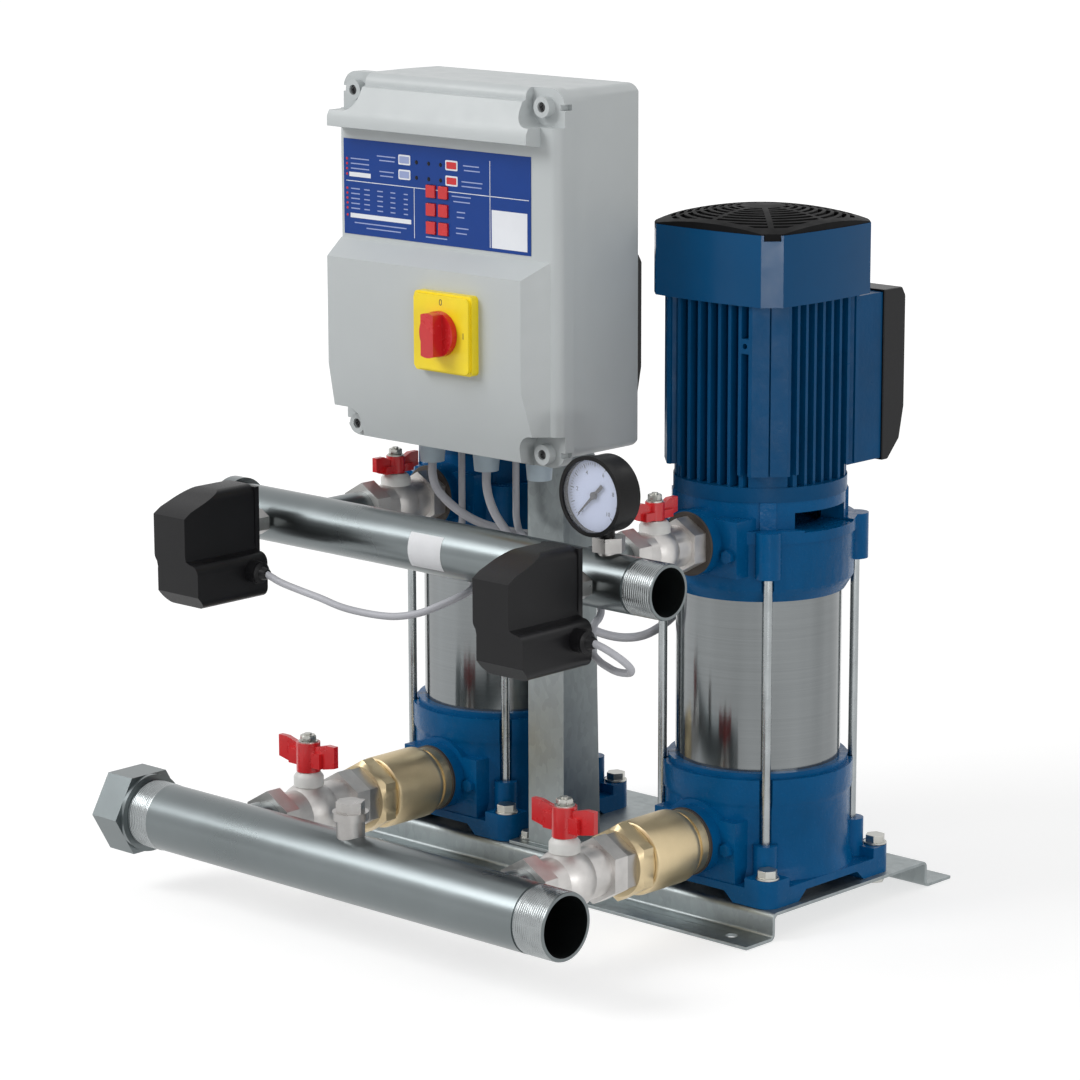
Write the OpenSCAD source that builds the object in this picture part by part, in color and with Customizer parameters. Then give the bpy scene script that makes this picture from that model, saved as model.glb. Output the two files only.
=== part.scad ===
// Twin booster pump set: two vertical multistage pumps on a folded base plate,
// with suction and discharge manifolds, valves, gauge, pressure switches and a
// control panel on a post. Millimetres, +Z up, X along the manifolds, -Y is the
// pipework side. The origin is on the floor, at the centre of the anchor holes.

/* [Base plate] */
// Length of the plate along X
plate_l = 504; // [440:1:600]
// Width of the flat top along Y
plate_w = 220; // [200:1:260]
// Height of the flat top above the floor
plate_h = 25; // [20:1:40]
// Thickness of the folded sheet
plate_t = 3; // [2:0.5:4]
// Width of each outward flange
flange_w = 36; // [28:1:50]
// Radius of the anchor holes in the flanges
anchor_r = 5.5; // [4:0.5:7]
// Distance between anchor holes along X
anchor_dx = 440; // [380:5:500]

/* [Pumps] */
// Distance between the two pump shafts
pump_dx = 315; // [290:1:400]
// Position of the pump shafts along Y
pump_y = -20; // [-30:1:0]
// Width of the square foot
foot_w = 175; // [170:1:200]
// Thickness of the foot between its pads
foot_t = 16; // [12:1:20]
// Height of the raised corner pads
pad_h = 25; // [18:1:30]
// Distance between foot bolts, both ways
bolt_s = 152; // [145:1:160]
// Radius of the foot bolts
bolt_r = 5; // [4:0.5:6]
// Outer radius of the base casting
casting_r = 85.5; // [82:0.5:90]
// Height of the base casting's shoulder above the floor
casting_top = 133; // [125:1:145]
// Outer radius of the steel sleeve
sleeve_r = 74; // [70:0.5:76]
// Half the distance between neighbouring tie rods
rod_s = 60.5; // [58:0.5:66]
// Radius of the tie rods
rod_r = 4; // [3:0.5:6]
// Height of the head's lower rim
head_z = 292; // [270:1:320]
// Height of the head's top flange
head_top = 356; // [340:1:380]
// Radius of the pump shaft
shaft_r = 8; // [6:0.5:10]

/* [Motors] */
// Height where the motor flange starts
motor_z = 380; // [370:1:400]
// Height where the fins end and the cowl starts
cowl_z = 553; // [520:1:580]
// Height of the cowl's side
cowl_h = 62; // [50:1:70]
// Half width across the fins
fin_s = 70.5; // [66:0.5:76]
// Number of fins on each face
fin_n = 9; // [7:1:11]
// Thickness of each fin
fin_t = 3.4; // [2.5:0.1:4.5]
// Half width of the fan cowl at the middle of a face
cowl_s = 76.5; // [74:0.5:78]
// Distance of the cowl's corner chamfers from the shaft
cowl_c = 94; // [90:0.5:96]
// Height of the grille's dome above the cowl
dome_h = 15; // [12:0.5:18]
// Distance of the terminal box's seat behind the shaft
box_seat = 63; // [60:1:66]
// Width of the terminal box
box_w = 96; // [84:1:110]
// Height of the terminal box
box_h = 150; // [120:1:154]
// Depth of the terminal box without its cover
box_d = 47; // [36:1:60]
// Depth of the terminal box's cover
cover_d = 31; // [24:1:40]

/* [Suction side] */
// Height of the suction axis
suc_z = 74; // [66:1:90]
// Distance of the suction manifold in front of the shafts
suc_d = 354; // [330:1:400]
// Outer radius of the suction manifold, a two inch pipe
suc_r = 30.15; // [24.15:0.01:38]
// Bore radius of the suction manifold
suc_b = 26.5; // [22:0.1:34]
// X of the open threaded end
suc_x = 249; // [220:1:300]
// Outer radius over the thread crests of that end
suc_thread_r = 29.4; // [23:0.1:37]
// Length of the thread
suc_thread = 34; // [20:1:40]
// Distance of the pump ports in front of the shafts
port_d = 97; // [92:1:110]

/* [Discharge side] */
// Height of the discharge axis
dis_z = 343; // [330:1:360]
// Distance of the discharge manifold in front of the shafts
dis_d = 254; // [240:1:300]
// Outer radius of the discharge manifold, a one and a half inch pipe
dis_r = 24.15; // [20:0.01:30.15]
// Bore radius of the discharge manifold
dis_b = 20.9; // [17:0.1:27]
// X of the open threaded end
dis_x = 272; // [230:1:300]
// Outer radius over the thread crests of that end
dis_thread_r = 23.4; // [18:0.1:30]
// Length of the thread
dis_thread = 32; // [20:1:40]
// X of the gauge
gauge_x = 206; // [190:1:230]
// Outer radius of the gauge case
gauge_r = 34; // [25:0.5:50]

/* [Panel] */
// X of the panel's left side
panel_x0 = -182; // [-200:1:-160]
// Width of the panel's lid
panel_w = 268; // [240:1:300]
// Height of the panel's underside
panel_z = 412; // [400:1:440]
// Height of the panel's box
panel_h = 324; // [280:1:360]
// Distance of the panel's back in front of the shafts
panel_back = 77.5; // [70:0.5:90]
// Distance of the seam between box and lid in front of the shafts
seam_d = 166; // [150:1:180]
// Height of the visor's upper end below the panel's top
visor_top = 10; // [6:1:20]
// Height of the visor
visor_h = 38; // [30:1:46]
// Height of the label
label_h = 85; // [70:1:100]
// Height of the isolator's axis above the panel's underside
iso_h = 110; // [80:1:130]
// X of the middle of the post
post_x = -30; // [-50:1:0]
// Width of the post
post_w = 44; // [36:1:60]

/* [Fits] */
// Radial running clearance of a shaft in its hole
run_gap = 0.05; // [0.02:0.01:0.1]
// Gap between parts that move past each other
air_gap = 0.4; // [0.3:0.1:1]

/* [Hidden] */
$fn = 96;
big = 400;
plate_y = plate_w / 2;
anchor_y = plate_y + flange_w / 2;
foot_z = plate_h;
sleeve_z0 = 100;
sleeve_z1 = 322;
suc_y = pump_y - suc_d;
dis_y = pump_y - dis_d;
port_y = pump_y - port_d;
suc_valve_y = pump_y - 256;
suc_valve_h = 52;
dis_valve_y = pump_y - 141;
dis_valve_h = 44;
check_y0 = pump_y - 176;
grille_z = cowl_z + cowl_h;
box_z = cowl_z - 7 - box_h;
plug_x = [38, 37];
panel_cx = panel_x0 + panel_w / 2;
slab_y = pump_y - 186;
raise_y = pump_y - 205;
panel_top = panel_z + panel_h;
gauge_y = dis_y - 2;
gauge_z = dis_z + 75;
gauge_face = pump_y - 278;
visor_z = panel_top - visor_top - visor_h;
label_z = visor_z - 9 - label_h;
key_x = [-64, -49];
key_z = [label_z + 46, label_z + 30, label_z + 14];
key_s = 11;
screw_x = [panel_x0 + 20, panel_x0 + panel_w - 20];
screw_z = [panel_z + 10, panel_top - 14];
iso_x = -25;
iso_z = panel_z + iso_h;
gland_x = [-126, -58, 7];
rear_gland_x = [-119, -51];
rear_gland_y = pump_y - 94;
gland_y = pump_y - 125;
gland_z = panel_z + 4;
steel = [0.72, 0.73, 0.75];
blue = [0.02, 0.16, 0.4];
black = [0.06, 0.06, 0.07];
grey = [0.78, 0.79, 0.78];
nickel = [0.76, 0.74, 0.72];
brass = [0.78, 0.62, 0.3];
red = [0.8, 0.08, 0.08];
cable = [0.62, 0.63, 0.65];

// Shared helpers

module at_pump(n) {
  translate([(n == 1 ? -1 : 1) * pump_dx / 2, pump_y, 0]) children();
}

module both() {
  for (n = [1, 2]) at_pump(n) children();
}

module four(s) {
  for (x = [-s, s], y = [-s, s]) translate([x, y, 0]) children();
}

module rsquare(w, h, r) {
  for (x = [-1, 1], y = [-1, 1]) translate([x * (w / 2 - r), y * (h / 2 - r)]) circle(r);
  square([w - 2 * r, h], center = true);
  square([w, h - 2 * r], center = true);
}

// Cylinder along Y from y0 to y1
module cyl_y(r, y0, y1, f = 96) {
  translate([0, y0, 0]) rotate([-90, 0, 0]) cylinder(h = y1 - y0, r = r, $fn = f);
}

// Hexagon bar along Y, flat side up, measured across its flats
module hex_y(af, y0, y1) {
  translate([0, y0, 0]) rotate([-90, 0, 0]) rotate([0, 0, 30])
    cylinder(h = y1 - y0, r = af / sqrt(3), $fn = 6);
}

// Cylinder along X from x0 to x1
module cyl_x(r, x0, x1, f = 96) {
  translate([x0, 0, 0]) rotate([0, 90, 0]) cylinder(h = x1 - x0, r = r, $fn = f);
}

// Hexagon bar along X, flat side up, measured across its flats
module hex_x(af, x0, x1) {
  translate([x0, 0, 0]) rotate([0, 90, 0]) rotate([0, 0, 30])
    cylinder(h = x1 - x0, r = af / sqrt(3), $fn = 6);
}

// Profile given as [y, z] points, extruded along X about the middle
module along_x(w) {
  translate([-w / 2, 0, 0]) rotate([90, 0, 90]) linear_extrude(w) children();
}

// Profile given as [x, z] points, extruded along Y from y0 to y1
module along_y(y0, y1) {
  translate([0, y1, 0]) rotate([90, 0, 0]) linear_extrude(y1 - y0) children();
}

// Base plate and post

module bend(y, z, a) {
  translate([y, z]) intersection() {
    difference() {
      circle(2 * plate_t);
      circle(plate_t);
    }
    rotate(a) square(big);
  }
}

module hat_side() {
  translate([0, plate_h - plate_t]) square([plate_y - 2 * plate_t, plate_t]);
  bend(plate_y - 2 * plate_t, plate_h - 2 * plate_t, 0);
  translate([plate_y - plate_t, 2 * plate_t]) square([plate_t, plate_h - 4 * plate_t]);
  bend(plate_y + plate_t, 2 * plate_t, 180);
  translate([plate_y + plate_t, 0]) square([flange_w - plate_t, plate_t]);
}

module base_plate() {
  color(steel) difference() {
    along_x(plate_l) union() {
      hat_side();
      mirror([1, 0]) hat_side();
    }
    for (x = [-1, 1], y = [-1, 1])
      translate([x * anchor_dx / 2, y * anchor_y, -1]) cylinder(h = 2 * plate_t, r = anchor_r);
    both() four(bolt_s / 2) translate([0, 0, 10]) cylinder(h = 30, r = bolt_r + 0.5);
    for (x = [-1, 1])
      translate([post_x + x * 31, pump_y - 68, 10]) cylinder(h = 30, r = bolt_r - 0.5);
  }
}

module panel_post() {
  t = 3;
  y0 = pump_y - panel_back;
  color(steel) difference() {
    union() {
      translate([post_x - post_w / 2, y0, plate_h]) cube([post_w, t, panel_top - plate_h - 40]);
      for (x = [t - post_w, post_w - t] / 2) translate([post_x + x, y0, 0]) along_x(t)
        polygon([[0, plate_h], [50, plate_h], [42, dis_z], [36, panel_top - 40],
          [0, panel_top - 40]]);
      translate([post_x - 39, pump_y - 86, plate_h]) cube([78, 36, t]);
    }
    for (x = [-1, 1])
      translate([post_x + x * 31, pump_y - 68, 10]) cylinder(h = 30, r = bolt_r - 0.5);
  }
}

// One bolt with washer, head and nut through a stack from z0 to z1
module bolt(r, z0, z1) {
  translate([0, 0, z0]) cylinder(h = z1 - z0, r = r);
  translate([0, 0, z1]) cylinder(h = 2, r = 2 * r + 0.5);
  translate([0, 0, z1 + 2]) cylinder(h = 1.3 * r, r = 1.85 * r, $fn = 6);
  translate([0, 0, z0 - 1.5 * r]) cylinder(h = 1.5 * r, r = 1.85 * r, $fn = 6);
}

module mounting_bolts() {
  color(steel) {
    both() four(bolt_s / 2) bolt(bolt_r, plate_h - plate_t, plate_h + pad_h);
    for (x = [-1, 1])
      translate([post_x + x * 31, pump_y - 68, 0]) bolt(4, plate_h - plate_t, plate_h + 3);
  }
}

// Pump

module base_casting() {
  block_w = 94;
  difference() {
    union() {
      translate([0, 0, foot_z]) linear_extrude(foot_t) rsquare(foot_w, foot_w, 14);
      translate([0, 0, foot_z]) linear_extrude(pad_h) intersection() {
        rsquare(foot_w, foot_w, 14);
        for (x = [-1, 1], y = [-1, 1])
          translate([x * foot_w / 2, y * foot_w / 2]) square(56, center = true);
      }
      translate([0, 0, foot_z + foot_t]) cylinder(h = 14, r1 = casting_r + 1.5, r2 = casting_r - 2);
      translate([0, 0, foot_z + foot_t]) cylinder(h = casting_top - foot_z - foot_t, r = casting_r - 2);
      translate([0, 0, 112]) cylinder(h = casting_top - 112, r = casting_r);
      translate([0, 0, 106]) cylinder(h = 6, r1 = casting_r - 2, r2 = casting_r);
      translate([0, 0, casting_top]) cylinder(h = 5, r = casting_r - 5);
      four(rod_s) translate([0, 0, foot_z + foot_t]) cylinder(h = 75 - foot_z - foot_t, r = 11);
      translate([-block_w / 2, -86, foot_z + foot_t]) cube([block_w, 60, 96 - foot_z - foot_t]);
      translate([0, 0, suc_z]) cyl_y(31, -port_d, -40);
      translate([0, 0, suc_z]) cyl_y(36, -86, -40);
    }
    for (a = [0, 90]) rotate(a) along_x(big) translate([0, foot_z])
      polygon([[-46, -1], [-46, 0], [-36, 9], [36, 9], [46, 0], [46, -1]]);
    four(rod_s) translate([0, 0, 75]) cylinder(h = 80, r = rod_r + 1.8);
    four(rod_s) translate([0, 0, 55]) cylinder(h = 30, r = rod_r);
    four(bolt_s / 2) translate([0, 0, foot_z - 1]) cylinder(h = 40, r = bolt_r + 0.5);
    translate([0, 0, 56]) cylinder(h = 100, r = 60);
    translate([0, 0, sleeve_z0]) cylinder(h = 60, r = sleeve_r);
    translate([0, 0, 44]) cylinder(h = 30, r = shaft_r + run_gap);
    translate([0, 0, suc_z]) cyl_y(17, -port_d - 1, -50);
    translate([plug_x[0], 0, suc_z - 3]) cyl_y(4, -87, -78);
  }
}

module sleeve() {
  difference() {
    translate([0, 0, sleeve_z0]) cylinder(h = sleeve_z1 - sleeve_z0, r = sleeve_r);
    translate([0, 0, sleeve_z0 - 1]) cylinder(h = sleeve_z1 - sleeve_z0 + 2, r = sleeve_r - 2);
  }
}

module tie_rod() {
  translate([0, 0, 55]) cylinder(h = head_top - 12 - 55, r = rod_r);
}

// Outer shell and five diffuser plates
module stage_stack() {
  n = 5;
  pitch = (sleeve_z1 - sleeve_z0) / n;
  difference() {
    translate([0, 0, sleeve_z0]) cylinder(h = sleeve_z1 - sleeve_z0, r = 67);
    for (i = [0:n - 1]) translate([0, 0, sleeve_z0 + i * pitch + 4])
      cylinder(h = pitch - (i == n - 1 ? 3 : 4), r = 63);
    translate([0, 0, sleeve_z0 - 1]) cylinder(h = 300, r = shaft_r + 6);
  }
}

module head() {
  difference() {
    union() {
      translate([0, 0, head_z]) cylinder(h = 12, r1 = 77, r2 = 84);
      translate([0, 0, head_z + 12]) cylinder(h = head_top - head_z - 12, r = 84);
      translate([0, 0, head_top - 11]) cylinder(h = 11, r = 86);
      four(rod_s) translate([0, 0, 315]) cylinder(h = head_top - 315, r = 11.5);
      translate([0, 0, head_top]) cylinder(h = motor_z - head_top, r = 76);
      for (a = [45:90:360]) rotate(a)
        translate([70, -7, head_top]) cube([8, 14, motor_z - head_top]);
      translate([-30, -86, 316]) cube([76, 40, 50]);
      translate([0, 0, dis_z]) cyl_y(29, -port_d, -40);
    }
    four(rod_s) translate([0, 0, head_z - 1]) cylinder(h = 315 - head_z + 1, r = rod_r + 1.8);
    four(rod_s) translate([0, 0, 300]) cylinder(h = head_top - 12 - 300, r = rod_r);
    translate([0, 0, head_z - 1]) cylinder(h = sleeve_z1 - head_z + 1, r = sleeve_r);
    translate([0, 0, head_z]) cylinder(h = 330 - head_z, r = 60);
    translate([0, 0, 320]) cylinder(h = 80, r = shaft_r + run_gap);
    translate([0, 0, head_top - 6]) cylinder(h = 60, r = 54);
    translate([0, 0, head_top + 6]) cube([200, 68, 16], center = true);
    translate([0, 0, dis_z]) cyl_y(13, -port_d - 1, -62);
    translate([0, -62, 325]) cylinder(h = dis_z - 325, r = 8);
    translate([0, -58, 318]) cylinder(h = dis_z - 318, r = 8);
    translate([plug_x[1], 0, 335]) cyl_y(4, -87, -78);
  }
}

// Squarish finned frame, seen from above; the terminal box sits on the +Y pad
module fin_profile(reach) {
  difference() {
    fin_outline(reach);
    translate([-box_w / 2 - 2, box_seat]) square([box_w + 4, 40]);
  }
}

module fin_outline(reach) {
  step = 92 / (fin_n - 1);
  circle(57);
  square([90, 90], center = true);
  for (a = [0, 90, 270]) rotate(a) for (i = [0:fin_n - 1])
    translate([-46 + i * step - fin_t / 2, 0]) mirror([0, 1]) square([fin_t, reach]);
  for (a = [45:90:360]) rotate(a) intersection() {
    translate([0, -17]) square([84, 34]);
    rotate(-a) square(2 * reach, center = true);
  }
  translate([-box_w / 2, 0]) square([box_w, box_seat]);
}

module motor_frame() {
  difference() {
    union() {
      translate([0, 0, motor_z]) cylinder(h = 13, r = 77);
      translate([0, 0, motor_z + 13]) linear_extrude(11) intersection() {
        fin_profile(fin_s);
        circle(76);
      }
      translate([0, 0, motor_z + 24]) linear_extrude(cowl_z - motor_z - 24) fin_profile(fin_s);
      translate([34.5, -fin_s, cowl_z - 42]) cube([11, 20, 13]);
    }
    for (a = [45:90:360]) rotate(a)
      translate([83, 0, motor_z + 13]) rotate(45) cube([2.4, 2.4, 400], center = true);
    translate([0, 0, motor_z + 13]) cylinder(h = cowl_z - motor_z - 21, r = 50);
    translate([0, 0, motor_z - 1]) cylinder(h = 300, r = shaft_r + run_gap);
    translate([40, 0, cowl_z - 35.5]) cyl_y(2.5, -fin_s - 1, -fin_s + 8, 32);
  }
}

module stator() {
  difference() {
    translate([0, 0, motor_z + 35]) cylinder(h = 100, r = 50);
    translate([0, 0, motor_z + 34]) cylinder(h = 102, r = 35 + air_gap);
  }
}

// Bulged square with flat corner chamfers
module cowl_profile(s) {
  bulge = 550;
  intersection() {
    rotate(45) square(2 * (cowl_c - cowl_s + s), center = true);
    translate([0, s - bulge]) circle(bulge, $fn = 180);
    translate([0, bulge - s]) circle(bulge, $fn = 180);
    translate([s - bulge, 0]) circle(bulge, $fn = 180);
    translate([bulge - s, 0]) circle(bulge, $fn = 180);
  }
}

module fan_cowl() {
  difference() {
    translate([0, 0, cowl_z]) linear_extrude(cowl_h) cowl_profile(cowl_s);
    translate([0, 0, cowl_z - 1]) linear_extrude(cowl_h - 3) cowl_profile(cowl_s - 2.5);
    translate([0, 0, cowl_z]) linear_extrude(cowl_h + 1) cowl_profile(cowl_s - 6);
    for (a = [45:90:360]) rotate(a)
      translate([cowl_c - 3.5, -7 - air_gap, grille_z - 5]) cube([5, 14 + 2 * air_gap, 6]);
  }
  // seats on the corner pads of the frame
  for (a = [45:90:360]) rotate(a) translate([72, -6, cowl_z]) cube([20, 12, 8]);
}

// Domed grille with ring slots between spokes, and a clip over each corner of the cowl
module cowl_grille() {
  for (a = [45:90:360]) rotate(a)
    translate([cowl_c - 3, -7, grille_z - 4.5]) cube([2.8, 14, 5.2]);
  ball = 320;
  difference() {
    intersection() {
      translate([0, 0, grille_z]) linear_extrude(40) cowl_profile(cowl_s - 0.8);
      translate([0, 0, grille_z + dome_h - ball]) sphere(ball, $fn = 180);
    }
    intersection() {
      translate([0, 0, grille_z - 1]) linear_extrude(40) cowl_profile(cowl_s - 5);
      translate([0, 0, grille_z + dome_h - ball]) sphere(ball - 3, $fn = 180);
    }
    translate([0, 0, grille_z - 1]) linear_extrude(40) intersection() {
      cowl_profile(cowl_s - 9);
      difference() {
        for (i = [0:8]) difference() {
          circle(24 + i * 7);
          circle(20 + i * 7);
        }
        for (a = [0:45:135]) rotate(a) square([200, 5], center = true);
      }
    }
  }
}

module terminal_box() {
  difference() {
    translate([-box_w / 2, box_seat, box_z]) cube([box_w, box_d, box_h]);
    translate([-box_w / 2 + 4, box_seat + 4, box_z + 4]) cube([box_w - 8, box_d, box_h - 8]);
  }
}

// Side outline of the cover, drawn in by the wall thickness
module cover_shell(w, wall) {
  y = box_seat + box_d;
  z = box_z - 2;
  h = box_h + 4;
  d = y + cover_d - wall;
  along_x(w) polygon([[y, z + wall], [y + 8, z + wall], [d - 6, z + 18 + wall / 2],
    [d, z + 46], [d, z + h - 8 - wall / 2], [d - 5 + wall / 2, z + h - wall],
    [y, z + h - wall]]);
}

module terminal_cover() {
  difference() {
    cover_shell(box_w + 4, 0);
    translate([0, -1, 0]) cover_shell(box_w - 4, 4);
  }
}

module plugs() {
  translate([plug_x[0], 0, suc_z - 3]) {
    cyl_y(4, -88, -80);
    hex_y(11, -90, -86);
  }
  translate([plug_x[1], 0, 335]) {
    cyl_y(4, -88, -80);
    hex_y(11, -90, -86);
  }
}

module rotor() {
  n = 5;
  pitch = (sleeve_z1 - sleeve_z0) / n;
  translate([0, 0, 46]) cylinder(h = cowl_z - 5, r = shaft_r);
  for (i = [0:n - 1]) translate([0, 0, sleeve_z0 + i * pitch + 14]) {
    cylinder(h = 4, r = 52);
    translate([0, 0, 12]) cylinder(h = 3, r = 52);
    for (a = [0:60:300]) rotate(a) translate([14, -1.5, 0]) cube([36, 3, 14]);
    cylinder(h = 15, r = 13);
  }
  translate([0, 0, head_top - 4]) cylinder(h = 20, r = 24);
  translate([0, 0, motor_z + 38]) cylinder(h = 94, r = 35);
}

module fan() {
  difference() {
    union() {
      translate([0, 0, cowl_z + 10]) cylinder(h = 30, r = 15);
      translate([0, 0, cowl_z + 10]) cylinder(h = 4, r = 60);
      for (a = [0:45:315]) rotate(a) translate([12, -1.5, cowl_z + 10]) cube([47, 3, 26]);
    }
    translate([0, 0, cowl_z]) cylinder(h = 60, r = shaft_r);
  }
}

// Manifolds

module suction_manifold() {
  color(steel) difference() {
    union() {
      translate([0, suc_y, suc_z]) cyl_x(suc_r, -290, suc_x - suc_thread);
      translate([0, suc_y, suc_z]) cyl_x(suc_thread_r, -290, suc_x);
    }
    translate([0, suc_y, suc_z]) cyl_x(suc_b, -291, suc_x + 1);
    for (x = [-1, 1]) translate([x * pump_dx / 2, suc_y, suc_z]) cyl_y(17, 0, 40);
    translate([-3, suc_y, suc_z]) cylinder(h = 40, r = 9);
  }
}

module suction_end_cap() {
  color(steel) translate([0, suc_y, suc_z]) difference() {
    union() {
      hex_x(71, -296, -264);
      cyl_x(35.5, -270, -260);
    }
    cyl_x(suc_r, -290, -250);
  }
}

module discharge_manifold() {
  color(steel) difference() {
    union() {
      translate([0, dis_y, dis_z]) cyl_x(dis_r, -245, dis_x - dis_thread);
      translate([0, dis_y, dis_z]) cyl_x(dis_thread_r, -245, dis_x);
    }
    translate([0, dis_y, dis_z]) cyl_x(dis_b, -246, dis_x + 1);
    for (x = [-1, 1]) translate([x * pump_dx / 2, dis_y, dis_z]) cyl_y(13, 0, 40);
    translate([gauge_x, dis_y, dis_z]) cylinder(h = 40, r = 4);
    for (x = [-187, 202]) translate([x, dis_y, dis_z]) cyl_y(4, -40, 0);
  }
}

module discharge_end_cap() {
  color(steel) translate([0, dis_y, dis_z]) difference() {
    cyl_x(28.5, -254, -240);
    cyl_x(dis_r, -245, -220);
  }
}

module branch(x, y0, y1, ro, ri, py, pz, pr) {
  difference() {
    translate([x, 0, pz]) cyl_y(ro, y0, y1);
    translate([x, 0, pz]) cyl_y(ri, y0 - 1, y1 + 1);
    translate([0, py, pz]) cyl_x(pr, x - 60, x + 60);
  }
}

module manifold_branches() {
  color(steel) for (x = [-pump_dx / 2, pump_dx / 2]) {
    branch(x, suc_y, suc_valve_y - suc_valve_h, 21.2, 17, suc_y, suc_z, suc_r);
    branch(x, dis_y, dis_valve_y - dis_valve_h, 16.9, 13, dis_y, dis_z, dis_r);
  }
}

module manifold_fittings() {
  color(nickel) {
    // filling nipple and plug on the suction manifold
    translate([-3, suc_y, suc_z]) difference() {
      union() {
        cylinder(h = 48, r = 12.5);
        translate([0, 0, 44]) cylinder(h = 7, r = 16);
        translate([0, 0, 51]) cylinder(h = 9, r = 13, $fn = 6);
      }
      cyl_x(suc_r, -60, 60);
      translate([0, 0, 20]) cylinder(h = 24, r = 9);
    }
    // gauge fitting
    translate([gauge_x, dis_y, dis_z]) difference() {
      union() {
        cylinder(h = 26, r = 9);
        translate([0, 0, 25.5]) cylinder(h = 12.5, r = 14.5, $fn = 6);
      }
      cyl_x(dis_r, -60, 60);
      translate([0, 0, 20]) cylinder(h = 30, r = 4);
    }
    // hexagon nipples that carry the pressure switches
    for (x = [-187, 202]) translate([x, dis_y, dis_z]) difference() {
      union() {
        cyl_y(7, -46, -20);
        hex_y(20, -40, -27);
      }
      cyl_x(dis_r, -60, 60);
      cyl_y(4, -60, -10);
    }
    // hexagon nipples between ball valves and check valves
    for (x = [-1, 1]) translate([x * pump_dx / 2, 0, suc_z]) difference() {
      hex_y(50, suc_valve_y + suc_valve_h, check_y0);
      cyl_y(16, suc_valve_y, check_y0 + 1);
    }
  }
}

// Ball valve body along Y; half is half its length, r its waist, af its hexagons
module valve_body(half, r, af, ball, neck) {
  difference() {
    union() {
      hex_y(af, -half, -half + 16);
      hex_y(af, half - 16, half);
      cyl_y(af / 2 - 3, -half + 15, half - 15);
      sphere(r);
      cylinder(h = neck - 4, r = 13);
      translate([0, 0, neck - 6]) cylinder(h = 6, r = 10);
    }
    cyl_y(ball * 0.72, -half - 1, half + 1);
    sphere(ball + air_gap);
    cylinder(h = 80, r = 5 + run_gap);
  }
}

module ball_valve_bodies() {
  color(nickel) for (x = [-pump_dx / 2, pump_dx / 2]) {
    translate([x, suc_valve_y, suc_z]) valve_body(suc_valve_h, 28, 52, 21, 38.5);
    translate([x, dis_valve_y, dis_z]) valve_body(dis_valve_h, 22, 43, 16, 28);
  }
}

// Butterfly handle with its stem and ball; the bore lies along the wings
module valve_handle(span, ball, neck, hub, h0, h1) {
  difference() {
    sphere(ball);
    cyl_x(ball * 0.72, -60, 60);
  }
  translate([0, 0, ball - 3]) cylinder(h = neck + 4 - ball, r = 5);
  translate([0, 0, neck + air_gap]) cylinder(h = h1 - neck - air_gap, r = hub);
  along_y(-2.6, 2.6) polygon([[-span, h0 + 3], [-span, h1 + 1], [-span + 10, h1 + 1],
    [-hub, h1 - 3], [hub, h1 - 3], [span - 10, h1 + 1], [span, h1 + 1], [span, h0 + 3],
    [span - 14, h0], [-span + 14, h0]]);
  along_y(-6, 6) polygon([[-hub - 9, h0], [-hub - 9, h1 - 8], [hub + 9, h1 - 8],
    [hub + 9, h0]]);
}

module suction_handle(x) {
  color(red) translate([x, suc_valve_y, suc_z]) valve_handle(36, 21, 38.5, 11, 44, 66);
}

module discharge_handle(x) {
  color(red) translate([x, dis_valve_y, dis_z]) rotate(90) valve_handle(27, 16, 28, 8.5, 29, 44);
}

module check_body() {
  y1 = -port_d;
  y0 = y1 - 79;
  difference() {
    union() {
      cyl_y(28, y0, y1);
      hex_y(54, y0 + 4, y0 + 20);
      cyl_y(31, y0 + 20, y0 + 27);
      cyl_y(29.5, y0 + 27, y0 + 32);
      hex_y(55, y0 + 34, y0 + 62);
      cyl_y(29.5, y1 - 12, y1 - 3);
    }
    cyl_y(13, y0 - 1, y0 + 30);
    cyl_y(21, y0 + 26, y1 - 22);
    cyl_y(16, y1 - 23, y1 + 1);
  }
  difference() {
    union() {
      cyl_y(6, y1 - 20, y1 - 12);
      for (a = [90, 210, 330]) rotate([0, a, 0])
        translate([0, y1 - 20, -2]) cube([16.5, 8, 4]);
    }
    cyl_y(2.5 + run_gap, y1 - 30, y1);
  }
}

module check_valve_bodies() {
  color(brass) both() translate([0, 0, suc_z]) check_body();
}

module check_disc(n) {
  y0 = -port_d - 79;
  color(steel) at_pump(n) translate([0, 0, suc_z]) {
    cyl_y(18, y0 + 26, y0 + 31);
    cyl_y(2.5, y0 + 30, y0 + 66);
  }
}

// Gauge

module gauge_case() {
  color(black) difference() {
    union() {
      translate([gauge_x, 0, gauge_z]) cyl_y(gauge_r - 1.5, gauge_face + 2, gauge_face + 27);
      translate([gauge_x, 0, gauge_z]) cyl_y(gauge_r, gauge_face, gauge_face + 6);
      translate([gauge_x, gauge_y, dis_z + 38]) cylinder(h = 20, r = 6.5);
    }
    translate([gauge_x, 0, gauge_z]) cyl_y(gauge_r - 3.5, gauge_face - 1, gauge_face + 8);
    translate([gauge_x, 0, gauge_z]) cyl_y(1.25, gauge_face, gauge_face + 14);
  }
}

module gauge_dial() {
  color([0.93, 0.94, 0.95]) translate([gauge_x, 0, gauge_z]) difference() {
    cyl_y(gauge_r - 3.5, gauge_face + 7, gauge_face + 8);
    cyl_y(1.25, gauge_face, gauge_face + 14);
  }
}

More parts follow.
